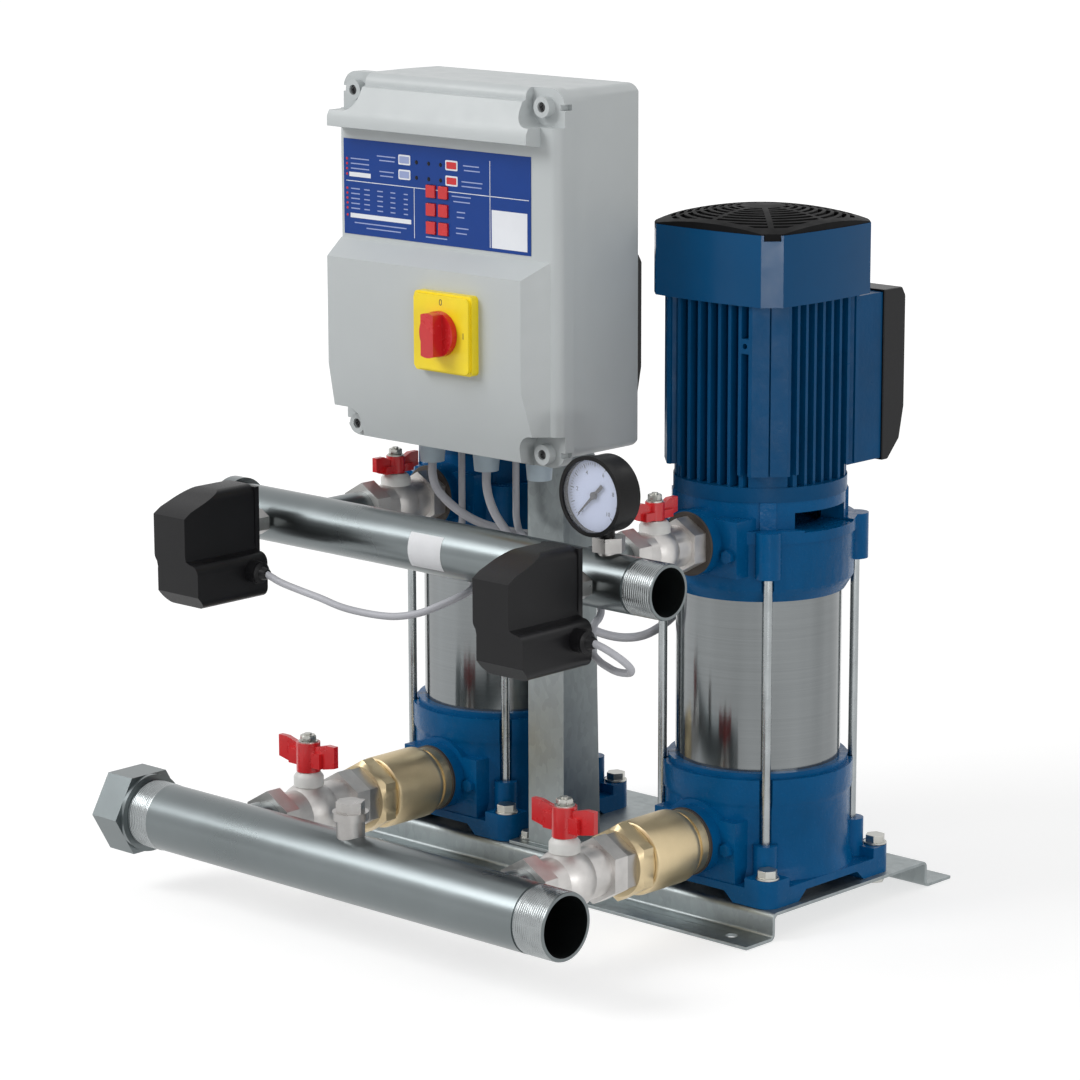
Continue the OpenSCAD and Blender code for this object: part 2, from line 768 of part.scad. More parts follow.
module gauge_needle() {
  color(black) translate([gauge_x, 0, gauge_z]) {
    cyl_y(1.2, gauge_face + 4, gauge_face + 13, 32);
    cyl_y(3.2, gauge_face + 4, gauge_face + 6, 48);
    rotate([0, -45, 0]) along_y(gauge_face + 4.6, gauge_face + 5.6)
      polygon([[-24, -0.4], [-24, 0.4], [0, 1.3], [13, 1.5], [13, -1.5], [0, -1.3]]);
  }
}

// Pressure switches; xs is the left side of a switch

module switch_base() {
  y0 = pump_y - 305;
  translate([-1, y0, dis_z - 56]) cube([42, 5, 93]);
}

// Front outline of a cover; its lower part is wider, towards the cable
module switch_front() {
  translate([20, dis_z + 7.5]) rsquare(40, 63, 9);
  translate([30, dis_z - 40]) rsquare(52, 40, 9);
  polygon([[5, dis_z - 30], [1, dis_z - 14], [40, dis_z - 14], [41, dis_z - 18],
    [49, dis_z - 21], [49, dis_z - 30]]);
}

module switch_cover() {
  y0 = pump_y - 305;
  difference() {
    intersection() {
      along_y(y0 - 83, y0) switch_front();
      translate([30, 0, 0]) along_x(80) polygon([[y0, dis_z - 60], [y0, dis_z + 40],
        [y0 - 34, dis_z + 40], [y0 - 75, dis_z + 25], [y0 - 83, dis_z + 20],
        [y0 - 83, dis_z - 48], [y0 - 73, dis_z - 60]]);
    }
    translate([8, y0 - 79, dis_z - 44]) cube([28, 80, 60]);
  }
  // entry of the cable
  translate([0, y0 - 18, dis_z - 34]) cyl_x(10, 50, 66, 48);
}

module at_switches() {
  for (x = [-210.5, 177.5]) translate([x, 0, 0]) children();
}

// Panel; the lid hangs over the box all round

module panel_box() {
  x0 = panel_x0 + 3;
  x1 = panel_x0 + panel_w - 3;
  yb = pump_y - panel_back;
  ys = pump_y - seam_d;
  color(grey) difference() {
    intersection() {
      translate([0, 0, panel_z + 4]) linear_extrude(panel_h - 4)
        polygon([[x0, ys], [x1, ys], [x1 - 2, yb], [x0 + 18, yb]]);
      translate([panel_cx, 0, panel_z + 4 + (panel_h - 4) / 2]) along_y(ys, yb)
        rsquare(panel_w - 6, panel_h - 4, 14);
    }
    translate([panel_cx + 4, 0, panel_z + 4 + (panel_h - 4) / 2]) along_y(ys - 1, yb - 4)
      rsquare(panel_w - 34, panel_h - 12, 10);
    for (x = gland_x) translate([x, gland_y, panel_z]) cylinder(h = 12, r = 9);
    for (x = rear_gland_x) translate([x, rear_gland_y, panel_z]) cylinder(h = 12, r = 6);
  }
}

// Plan of the lid with rounded front corners, from the seam to the label's plane
module lid_plan(x0, x1) {
  r = 9;
  for (x = [x0 + r, x1 - r]) translate([x, slab_y + r]) circle(r);
  translate([x0 + r, slab_y]) square([x1 - x0 - 2 * r, r]);
  translate([x0, slab_y + r]) square([x1 - x0, pump_y - seam_d - slab_y - r]);
}

// Side of the lid, rounded likewise
module lid_side() {
  r = 9;
  z0 = panel_z - 2;
  h = panel_h + 4;
  for (z = [z0 + r, z0 + h - r]) translate([slab_y + r, z]) circle(r);
  translate([slab_y, z0 + r]) square([r, h - 2 * r]);
  translate([slab_y + r, z0]) square([pump_y - seam_d - slab_y - r, h]);
}

// Forward part with the isolator; its face leans back towards the panel's underside
module raised_part() {
  x0 = panel_x0;
  x1 = panel_x0 + panel_w - 9;
  intersection() {
    translate([panel_cx, 0, 0]) along_x(panel_w) polygon([[slab_y + 6, label_z - 4],
      [slab_y, label_z - 4], [raise_y, label_z - 19], [raise_y, panel_z + 66],
      [raise_y + 12, panel_z + 2], [slab_y + 6, panel_z + 2]]);
    translate([0, 0, panel_z]) linear_extrude(panel_h) polygon([[x0 + 4, slab_y + 6],
      [x0 + 4, slab_y], [x0 + 5, raise_y], [x1 - 17, raise_y], [x1, slab_y],
      [x1, slab_y + 6]]);
  }
}

// Visor over the label, seen from the side
module visor() {
  translate([panel_cx - 7, 0, 0]) along_x(panel_w - 26) polygon([[slab_y + 2, visor_z],
    [slab_y, visor_z], [raise_y + 1, visor_z + 3], [raise_y + 1, visor_z + 12],
    [slab_y - 4, panel_top - visor_top], [slab_y + 2, panel_top - visor_top + 2]]);
}

// Stepped corners that let a screwdriver reach the lid's screws, with a wall round them
module corner_steps(y0, y1, wall = 0) {
  for (i = [0, 1], j = [0, 1]) translate([screw_x[i], 0, screw_z[j]])
    translate([i == 0 ? -23 : 23, 0, j == 0 ? -23 : 23]) along_y(y0, y1)
      rsquare(80 + 2 * wall, 80 + 2 * wall, 15 + wall);
}

module panel_lid() {
  ys = pump_y - seam_d;
  z0 = panel_z - 2;
  color(grey) difference() {
    union() {
      difference() {
        union() {
          intersection() {
            translate([panel_cx, 0, panel_z + panel_h / 2]) along_y(slab_y, ys)
              rsquare(panel_w, panel_h + 4, 16);
            translate([0, 0, z0]) linear_extrude(panel_h + 4)
              lid_plan(panel_x0, panel_x0 + panel_w);
            translate([panel_cx, 0, 0]) along_x(panel_w) lid_side();
          }
          raised_part();
          visor();
        }
        corner_steps(slab_y - 40, slab_y + 9);
      }
      for (x = screw_x, z = screw_z) translate([x, 0, z]) cyl_y(9, slab_y + 1, slab_y + 10);
    }
    difference() {
      translate([panel_cx, 0, panel_z + panel_h / 2]) along_y(slab_y + 4, ys + 1)
        rsquare(panel_w - 18, panel_h - 14, 10);
      corner_steps(slab_y + 2, ys + 2, 3);
    }
    for (x = screw_x, z = screw_z) translate([x, 0, z]) cyl_y(4.5, slab_y, slab_y + 5);
    // dark slots beside the screws, at the seam
    for (x = [panel_x0 - 1, panel_x0 + panel_w - 5], z = screw_z)
      translate([x, slab_y + 7, z - 2.5]) cube([6, 11, 5]);
    for (x = key_x, z = key_z) translate([x, 0, z]) along_y(slab_y - 1, slab_y + 5)
      square(key_s + 2 * air_gap, center = true);
    translate([iso_x, 0, iso_z]) cyl_y(8, raise_y - 1, slab_y + 5);
  }
}

module panel_label() {
  color([0.06, 0.13, 0.42]) difference() {
    along_y(slab_y - 0.6, slab_y) translate([panel_x0 + 9, label_z])
      square([228, label_h]);
    for (x = key_x, z = key_z) translate([x, 0, z]) along_y(slab_y - 1, slab_y + 1)
      square(key_s + 2 * air_gap, center = true);
  }
}

module key(i) {
  x = key_x[i % 2];
  z = key_z[floor(i / 2)];
  color(red) translate([x, 0, z]) {
    along_y(slab_y - 2.4, slab_y + 4) square(key_s, center = true);
    along_y(slab_y + 5.2, slab_y + 6.4) square(key_s + 4, center = true);
    along_y(slab_y + 3.5, slab_y + 6) square(key_s - 2, center = true);
  }
}

module isolator_plate() {
  color([0.95, 0.8, 0.1]) difference() {
    union() {
      translate([iso_x, 0, iso_z]) along_y(raise_y - 8, raise_y) rsquare(70, 70, 4);
      translate([iso_x, 0, iso_z]) along_y(raise_y - 11, raise_y - 8) rsquare(66, 66, 4);
      translate([iso_x, 0, iso_z]) cyl_y(7.9, raise_y, slab_y + 20);
    }
    translate([iso_x, 0, iso_z]) cyl_y(3 + run_gap, raise_y - 12, slab_y + 15);
  }
}

module isolator_knob() {
  y1 = raise_y - 11 - air_gap;
  color(red) translate([iso_x, 0, iso_z]) {
    cyl_y(20, y1 - 6, y1);
    cyl_y(3, y1 - 1, slab_y + 14, 48);
    along_y(y1 - 17, y1 - 5) intersection() {
      circle(19.5);
      square([15, 60], center = true);
    }
  }
}

// Glands

module gland(h, r, neck) {
  translate([0, 0, -8]) cylinder(h = 8, r = r);
  translate([0, 0, -8 - h]) cylinder(h = h, r1 = r - 3, r2 = r - 1);
  cylinder(h = 6, r = neck);
}

module cable_glands() {
  color([0.8, 0.82, 0.82]) {
    for (x = gland_x) translate([x, gland_y, gland_z]) gland(24, 14, 8.8);
    for (x = rear_gland_x) translate([x, rear_gland_y, gland_z]) gland(18, 9, 5.8);
  }
}

// The terminal boxes have theirs underneath, on the side of the other pump
module box_glands() {
  color(black) for (n = [1, 2]) at_pump(n)
    translate([n == 1 ? 30 : -30, box_seat + box_d / 2, box_z]) difference() {
      union() {
        translate([0, 0, -6]) cylinder(h = 6, r = 11, $fn = 6);
        translate([0, 0, -18]) cylinder(h = 12, r1 = 7, r2 = 9);
      }
      translate([0, 0, -19]) cylinder(h = 25, r = 4.3);
    }
}

// Cables: round tubes swept through given points

function unit(v) = v / norm(v);
function tangent(p, i) = unit(p[min(i + 1, len(p) - 1)] - p[max(i - 1, 0)]);
function side(t) = unit(cross(t, abs(t[2]) > 0.9 ? [0, 1, 0] : [0, 0, 1]));
function ring(p, i, r, n) = let (t = tangent(p, i), u = side(t), v = cross(u, t))
  [for (k = [0:n - 1]) p[i] + r * (cos(360 * k / n) * u + sin(360 * k / n) * v)];

module tube(p, r, n = 10) {
  m = len(p);
  pts = [for (i = [0:m - 1]) each ring(p, i, r, n)];
  walls = [for (i = [0:m - 2], k = [0:n - 1])
    [i * n + k, i * n + (k + 1) % n, (i + 1) * n + (k + 1) % n, (i + 1) * n + k]];
  low = [for (k = [0:n - 1]) n - 1 - k];
  high = [for (k = [0:n - 1]) (m - 1) * n + k];
  polyhedron(points = pts, faces = concat([low], walls, [high]), convexity = 6);
}

switch_path_1 = [[-144.5, -343, 309], [-137, -343, 309], [-118, -343, 304],
  [-96, -341, 300], [-74, -338, 296], [-54, -334, 291], [-35, -328, 288], [-13, -322, 287],
  [2, -316, 288], [18, -308, 292], [32, -298, 299], [40, -284, 305], [38, -266, 308],
  [20, -244, 308], [-14, -218, 307], [-50, -190, 305], [-84, -160, 303], [-106, -136, 304],
  [-116, -120, 312], [-119, -114, 326], [-119, -114, 345], [-119, -114, 390]];
switch_path_2 = [[243.5, -343, 309], [252, -343, 309], [262, -343, 307], [272, -341.5, 303],
  [280, -338, 297.5], [283.5, -333.5, 291.5], [279.5, -329, 286.5], [270, -326, 284],
  [258, -323, 283], [246, -319.5, 284], [234, -316, 286], [222, -311, 290], [212, -303, 296],
  [204, -292, 302], [196, -280, 306], [186, -264, 306], [174, -248, 308], [158, -234, 310],
  [134, -220, 313], [104, -206, 317], [70, -190, 321], [36, -172, 324], [4, -151, 325],
  [-24, -131, 324], [-42, -119, 326], [-50, -114.5, 336], [-51, -114, 350], [-51, -114, 390]];
motor_path_1 = [[-126, -145, 384], [-126, -145, 372], [-124, -143, 360], [-119, -138, 350],
  [-111, -131, 340], [-100, -121, 330], [-89, -107, 322], [-80, -90, 316], [-73, -68, 311],
  [-68, -42, 308], [-66, -14, 308], [-66, 16, 312], [-70, 40, 322], [-82, 56, 334],
  [-100, 64, 344], [-118, 66, 354], [-127.5, 66.5, 366], [-127.5, 66.5, 378]];
motor_path_2 = [[-58, -145, 384], [-58, -145, 370], [-56, -143, 356], [-52, -139, 342],
  [-45, -133, 328], [-36, -127, 312], [-26, -122, 295], [-14, -117, 278], [0, -111, 262],
  [16, -103, 248], [32, -92, 239], [47, -80, 235], [59, -66, 236], [66, -51, 242],
  [68, -32, 251], [67, -10, 266], [66, 12, 287], [70, 34, 309], [81, 53, 328], [98, 63, 342],
  [117, 66, 353], [127.5, 66.5, 366], [127.5, 66.5, 378]];

base_plate();
panel_post();
mounting_bolts();
color(blue) at_pump(1) base_casting();  // pump_1_base_casting
color(blue) at_pump(2) base_casting();  // pump_2_base_casting
color(steel) both() sleeve();  // sleeves
color(steel) both() four(rod_s) tie_rod();  // tie_rods
color(steel) both() stage_stack();  // stage_stacks
color(blue) at_pump(1) head();  // pump_1_head
color(blue) at_pump(2) head();  // pump_2_head
color(blue) at_pump(1) motor_frame();  // pump_1_motor_frame
color(blue) at_pump(2) motor_frame();  // pump_2_motor_frame
color(steel) both() stator();  // motor_stators
color(blue) at_pump(1) fan_cowl();  // pump_1_fan_cowl
color(blue) at_pump(2) fan_cowl();  // pump_2_fan_cowl
color(black) at_pump(1) cowl_grille();  // pump_1_cowl_grille
color(black) at_pump(2) cowl_grille();  // pump_2_cowl_grille
color(blue) both() terminal_box();  // terminal_boxes
color(black) both() terminal_cover();  // terminal_covers
color(steel) both() plugs();  // pump_plugs
suction_manifold();
suction_end_cap();
discharge_manifold();
discharge_end_cap();
manifold_branches();
manifold_fittings();
ball_valve_bodies();
check_valve_bodies();
gauge_case();
gauge_dial();
color(black) at_switches() switch_base();  // switch_bases
color(black) at_switches() switch_cover();  // switch_covers
panel_box();
panel_lid();
panel_label();
isolator_plate();
cable_glands();
box_glands();
color(cable) tube(switch_path_1, 3.2);  // switch_cable_1
color(cable) tube(switch_path_2, 3.2);  // switch_cable_2
color(cable) tube(motor_path_1, 4);  // motor_cable_1
color(cable) tube(motor_path_2, 4);  // motor_cable_2
suction_handle(-pump_dx / 2);  // suction_handle_1
suction_handle(pump_dx / 2);  // suction_handle_2
discharge_handle(-pump_dx / 2);  // discharge_handle_1
discharge_handle(pump_dx / 2);  // discharge_handle_2
isolator_knob();
color(steel) at_pump(1) rotor();  // pump_1_rotor
color(steel) at_pump(2) rotor();  // pump_2_rotor
color(black) at_pump(1) fan();  // pump_1_fan
color(black) at_pump(2) fan();  // pump_2_fan
check_disc(1);  // check_disc_1
check_disc(2);  // check_disc_2
gauge_needle();
key(0);  // key_1
key(1);  // key_2
key(2);  // key_3
key(3);  // key_4
key(4);  // key_5
key(5);  // key_6
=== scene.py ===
import math
import bpy
import bmesh
from bpy.props import FloatProperty, FloatVectorProperty, IntProperty, PointerProperty
from bpy.types import Operator, Panel, PropertyGroup
from mathutils import Matrix, Vector


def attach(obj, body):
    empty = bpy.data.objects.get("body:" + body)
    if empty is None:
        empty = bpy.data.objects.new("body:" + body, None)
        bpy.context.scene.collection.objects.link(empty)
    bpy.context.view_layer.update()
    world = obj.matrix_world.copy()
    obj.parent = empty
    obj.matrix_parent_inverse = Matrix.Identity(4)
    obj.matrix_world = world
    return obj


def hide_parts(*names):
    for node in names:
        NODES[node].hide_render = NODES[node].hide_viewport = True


bl_info = {
    "name": "Booster Pump Set",
    "version": (1, 0, 0),
    "blender": (4, 5, 0),
    "location": "View3D > Sidebar > Booster Set",
    "description": "Finishes, fittings, cables and studio for a twin booster pump set",
    "category": "Object",
}

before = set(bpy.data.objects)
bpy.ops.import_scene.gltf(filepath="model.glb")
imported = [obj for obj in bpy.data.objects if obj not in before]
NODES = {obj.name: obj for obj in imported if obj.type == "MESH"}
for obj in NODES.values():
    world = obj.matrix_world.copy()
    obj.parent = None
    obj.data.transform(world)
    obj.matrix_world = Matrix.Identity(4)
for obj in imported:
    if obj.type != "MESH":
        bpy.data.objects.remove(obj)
bpy.context.view_layer.update()

# Places in the row frame, in millimetres

PUMP_X = (-157.5, 157.5)
PORT_Y = -117.0  # faces of the pump ports
SUCTION = (-374.0, 74.0)  # y and z of the manifold's axis
DISCHARGE = (-274.0, 343.0)
SUCTION_STEM_Y = -276.0  # stems of the ball valves
DISCHARGE_STEM_Y = -161.0
GAUGE = (206.0, -298.0, 418.0)  # middle of the dial
SWITCH_ENTRIES = ((-144.5, -343.0, 309.0), (243.5, -343.0, 309.0))
COVER_Y = 120.9  # outer face of the terminal covers
LABEL_Y = -206.6  # face of the panel's film
LID_SCREW_Y = -201.0  # seats of the screws in the lid's corners
PLATE_Y = -236.0  # face of the isolator plate
ISOLATOR = (-25.0, 522.0)  # x and z of the knob's axis
FORWARD = (0, -1, 0)
BACKWARD = (0, 1, 0)
RIGHTWARD = (1, 0, 0)

# Places of the studio, in metres; the floor is drawn in millimetres

CAMERA_TARGET = Vector((0, -0.08, 0.28))
CAMERA_SHIFT = (-0.0398, 0.0379)
LAMP_TARGET = Vector((0, -0.1, 0.3))
FLOOR_WIDTH, FLOOR_CORNER = 60000, 4000
GLOW_RISE = (1.2, 3.5)  # where the far glow starts and where it is full
LAMPS = (  # name, property, place, width, height
    ("key_lamp", "key_power", (-2.15, -3.1, 3.1), 2.2, 2.2),
    ("side_lamp", "side_power", (3.5, -0.7, 1.0), 2.0, 0.7),
    ("low_lamp", "low_power", (2.07, -1.62, 0.30), 0.30, 0.16),
    ("back_lamp", "back_power", (0.6, 3.0, 2.6), 1.8, 1.8))


# Colours, sizes and studio settings that a user may set

COLOUR = {"min": 0.0, "max": 1.0, "size": 3, "subtype": "COLOR"}
SHARE = {"min": 0.0, "max": 1.0, "subtype": "FACTOR"}
POWER = {"min": 0.0, "max": 1000.0, "unit": "POWER"}
LENGTH = {"unit": "LENGTH", "subtype": "DISTANCE"}


class BoosterColours(PropertyGroup):
    """Base colours of the finishes"""
    blue: FloatVectorProperty(
        name="Pump blue", description="Paint of castings, motors and cowls",
        default=(0.001, 0.061, 0.166), **COLOUR)
    galvanised: FloatVectorProperty(
        name="Galvanised sheet", description="Base plate and post",
        default=(0.29, 0.32, 0.325), **COLOUR)
    stainless: FloatVectorProperty(
        name="Stainless", description="Sleeves and tie rods",
        default=(0.225, 0.24, 0.245), **COLOUR)
    pipe: FloatVectorProperty(
        name="Manifold pipe", description="Manifolds, stubs and end caps",
        default=(0.178, 0.20, 0.205), **COLOUR)
    nickel: FloatVectorProperty(
        name="Nickel", description="Plated valve bodies and fittings",
        default=(0.56, 0.545, 0.53), **COLOUR)
    brass: FloatVectorProperty(
        name="Brass", description="Check valves",
        default=(0.62, 0.505, 0.315), **COLOUR)
    red: FloatVectorProperty(
        name="Handle red", description="Valve handles, keys and knob",
        default=(0.60, 0.012, 0.016), **COLOUR)
    yellow: FloatVectorProperty(
        name="Isolator yellow", description="Plate behind the main switch",
        default=(0.93, 0.72, 0.014), **COLOUR)
    panel: FloatVectorProperty(
        name="Panel grey", description="Enclosure of the controller",
        default=(0.505, 0.535, 0.54), **COLOUR)
    label: FloatVectorProperty(
        name="Label blue", description="Film over the keys",
        default=(0.006, 0.045, 0.24), **COLOUR)
    black: FloatVectorProperty(
        name="Black plastic", description="Switch covers, grilles and terminal covers",
        default=(0.006, 0.006, 0.007), **COLOUR)
    cable: FloatVectorProperty(
        name="Cable grey", description="Jackets of the cables",
        default=(0.47, 0.475, 0.51), **COLOUR)


class BoosterSizes(PropertyGroup):
    """Sizes of the fine pieces"""
    cable_motor: FloatProperty(
        name="Motor cable", description="Outside diameter of the motor cables",
        default=0.0080, min=0.005, max=0.012, **LENGTH)
    cable_switch: FloatProperty(
        name="Switch cable", description="Outside diameter of the switch cables",
        default=0.0064, min=0.004, max=0.010, **LENGTH)
    pitch_pipe: FloatProperty(
        name="Pipe thread pitch", description="Distance between crests on the manifold ends",
        default=0.0023, min=0.001, max=0.004, **LENGTH)
    edge_cast: FloatProperty(
        name="Casting edge", description="Rounding on edges of cast pieces",
        default=0.0012, min=0.0, max=0.003, **LENGTH)
    edge_sharp: FloatProperty(
        name="Machined edge", description="Rounding on edges of turned and moulded pieces",
        default=0.0005, min=0.0, max=0.002, **LENGTH)
    dial_ticks: IntProperty(
        name="Dial ticks", description="Number of divisions round the gauge dial",
        default=50, min=10, max=100)


class BoosterStudio(PropertyGroup):
    """Floor, lamps and camera"""
    floor_tone: FloatProperty(
        name="Floor tone", description="Brightness of the floor",
        default=0.50, **SHARE)
    floor_glow: FloatProperty(
        name="Floor glow", description="White added to the floor where it is seen",
        default=0.62, **SHARE)
    far_glow: FloatProperty(
        name="Far floor glow", description="White added to the floor far from the set",
        default=0.80, **SHARE)
    key_power: FloatProperty(
        name="Key lamp", description="Power of the large soft lamp on the left",
        default=112.0, **POWER)
    side_power: FloatProperty(
        name="Side lamp", description="Power of the wide lamp on the right",
        default=17.0, **POWER)
    low_power: FloatProperty(
        name="Low lamp", description="Power of the small lamp near the floor",
        default=6.0, **POWER)
    back_power: FloatProperty(
        name="Back lamp", description="Power of the soft lamp behind",
        default=14.0, **POWER)
    room: FloatProperty(
        name="Room light", description="Strength of the light from all round",
        default=0.50, min=0.0, max=2.0, subtype="FACTOR")
    bearing: FloatProperty(
        name="Camera bearing", description="Turn of the camera to the right of the front",
        default=math.radians(42.37), subtype="ANGLE")
    pitch: FloatProperty(
        name="Camera pitch", description="How far the camera looks down",
        default=math.radians(12.57), subtype="ANGLE")
    distance: FloatProperty(
        name="Camera distance", description="From the camera to the point it looks at",
        default=3.587, min=1.0, max=20.0, **LENGTH)
    focal: FloatProperty(
        name="Focal length", description="Lens of the camera",
        default=131.96, min=20.0, max=300.0, unit="CAMERA")


def sizes():
    return bpy.context.scene.booster_sizes


# Finishes: node trees with tone, gloss and grain of their own

FINISHES = {}


def shade(colour, k):
    """The colour made k times as bright, with its alpha."""
    return tuple(min(1.0, c * k) for c in colour[:3]) + (1.0,)


def fill(node, **values):
    """Set input values of a node; an underscore in a name stands for a space."""
    for name, value in values.items():
        node.inputs[name.replace("_", " ")].default_value = value
    return node


class Recipe:
    """A material under construction: a Principled shader fed by noise in row-frame metres."""

    def __init__(self, name, metal=0.0, ior=1.5, coat=0.0, level=0.5):
        self.name = name
        self.mat = bpy.data.materials.new(name)
        self.mat.use_nodes = True
        self.tree = self.mat.node_tree
        self.shader = fill(self.tree.nodes["Principled BSDF"], Metallic=metal, IOR=ior,
                           Specular_IOR_Level=level, Coat_Weight=coat, Coat_Roughness=0.1)
        self.place = self.tree.nodes.new("ShaderNodeTexCoord").outputs["Object"]
        self.height = None

    def link(self, a, b):
        self.tree.links.new(a, b)

    def add(self, kind, **values):
        """A new node with the given input values."""
        return fill(self.tree.nodes.new("ShaderNode" + kind), **values)

    def stretched(self, stretch):
        node = self.add("Mapping", Scale=stretch)
        self.link(self.place, node.inputs["Vector"])
        return node.outputs["Vector"]

    def noise(self, scale, detail=3.0, rough=0.55, stretch=(1, 1, 1)):
        node = self.add("TexNoise", Scale=scale, Detail=detail, Roughness=rough)
        self.link(self.stretched(stretch), node.inputs["Vector"])
        return node.outputs["Fac"]

    def cells(self, scale, stretch=(1, 1, 1)):
        node = self.add("TexVoronoi", Scale=scale)
        self.link(self.stretched(stretch), node.inputs["Vector"])
        split = self.add("SeparateColor")
        self.link(node.outputs["Color"], split.inputs["Color"])
        return split.outputs["Red"]

    def spread(self, fac, low, high, source=(0.3, 0.7)):
        """Stretch the source range of fac to low and high."""
        node = self.add("MapRange", From_Min=source[0], From_Max=source[1], To_Min=low,
                        To_Max=high)
        self.link(fac, node.inputs["Value"])
        return node.outputs["Result"]

    def mix(self, fac, a, b):
        node = self.add("Mix")
        node.data_type = "RGBA"
        for key, value in (("A", a), ("B", b)):
            slot = [s for s in node.inputs if s.name == key and s.type == "RGBA"][0]
            if isinstance(value, tuple):
                slot.default_value = value
            else:
                self.link(value, slot)
        self.link(fac, node.inputs[0])
        return [s for s in node.outputs if s.type == "RGBA"][0]

    def tone(self, socket):
        self.link(socket, self.shader.inputs["Base Color"])

    def drift(self, fac, colour, low, high, source=(0.3, 0.7)):
        """Let the base colour drift between two shades of one colour."""
        self.tone(self.mix(self.spread(fac, 0.0, 1.0, source), shade(colour, low),
                           shade(colour, high)))

    def gloss(self, socket):
        self.link(socket, self.shader.inputs["Roughness"])

    def bump(self, fac, depth, strength=1.0):
        node = self.add("Bump", Strength=strength, Distance=depth)
        self.link(fac, node.inputs["Height"])
        if self.height is not None:
            self.link(self.height, node.inputs["Normal"])
        self.height = node.outputs["Normal"]
        self.link(self.height, self.shader.inputs["Normal"])

    def done(self):
        FINISHES[self.name] = self.mat
        return self.mat


def plain(name, colour, rough, metal=0.0, swing=0.10, patch=9.0, grain=((1400.0, 0.00002),),
          coat=0.0, stretch=(1, 1, 1), rough_swing=0.08, level=0.5):
    """A finish with cloudy tone, uneven gloss and one or more layers of grain."""
    r = Recipe(name, metal=metal, coat=coat, level=level)
    cloud = r.noise(patch, 4.0, 0.6)
    streak = r.noise(60.0, 4.0, 0.6, stretch)
    r.drift(cloud, colour, 1 - swing, 1 + swing)
    r.gloss(r.spread(streak, max(0.03, rough - rough_swing), min(1.0, rough + rough_swing)))
    for scale, depth in grain:
        r.bump(r.noise(scale, 2.0, 0.5, stretch), depth)
    r.done()


def make_paints(c):
    """Paints and mouldings of the pumps and the gauge."""
    r = Recipe("blue_casting_paint", level=0.1)
    cloud, fine = r.noise(14.0, 5.0, 0.6), r.noise(220.0, 4.0, 0.6)
    r.drift(cloud, c.blue, 1.25, 1.70)
    r.gloss(r.spread(fine, 0.17, 0.30))
    r.bump(r.noise(95.0, 3.0, 0.55), 0.0011, 0.55)
    r.bump(r.noise(520.0, 3.0, 0.6), 0.00016, 0.6)
    r.done()

    plain("blue_motor_paint", shade(c.blue, 1.05), 0.34, swing=0.10, patch=18.0,
          level=0.11, grain=((240.0, 0.00014), (1500.0, 0.00002)))
    plain("blue_cowl_moulding", shade(c.blue, 1.10), 0.20, swing=0.05, patch=10.0,
          rough_swing=0.03, level=0.12, grain=((900.0, 0.00001),))
    plain("red_coating", c.red, 0.30, patch=45.0, swing=0.08, coat=0.3,
          grain=((260.0, 0.00010), (1500.0, 0.00002)))
    plain("gauge_enamel", (0.006, 0.006, 0.0065), 0.36, patch=40.0, swing=0.2, level=0.14,
          grain=((500.0, 0.00004),))
    plain("grille_moulding", (0.005, 0.005, 0.0055), 0.58, patch=20.0, swing=0.2, level=0.08,
          grain=((1300.0, 0.00004),))

    r = Recipe("black_moulding", level=0.2)
    cloud, fine = r.noise(16.0, 3.0, 0.5), r.noise(1300.0, 2.0, 0.5)
    r.drift(cloud, c.black, 0.85, 1.25)
    r.gloss(r.spread(fine, 0.30, 0.44))
    r.bump(fine, 0.00004)
    r.done()


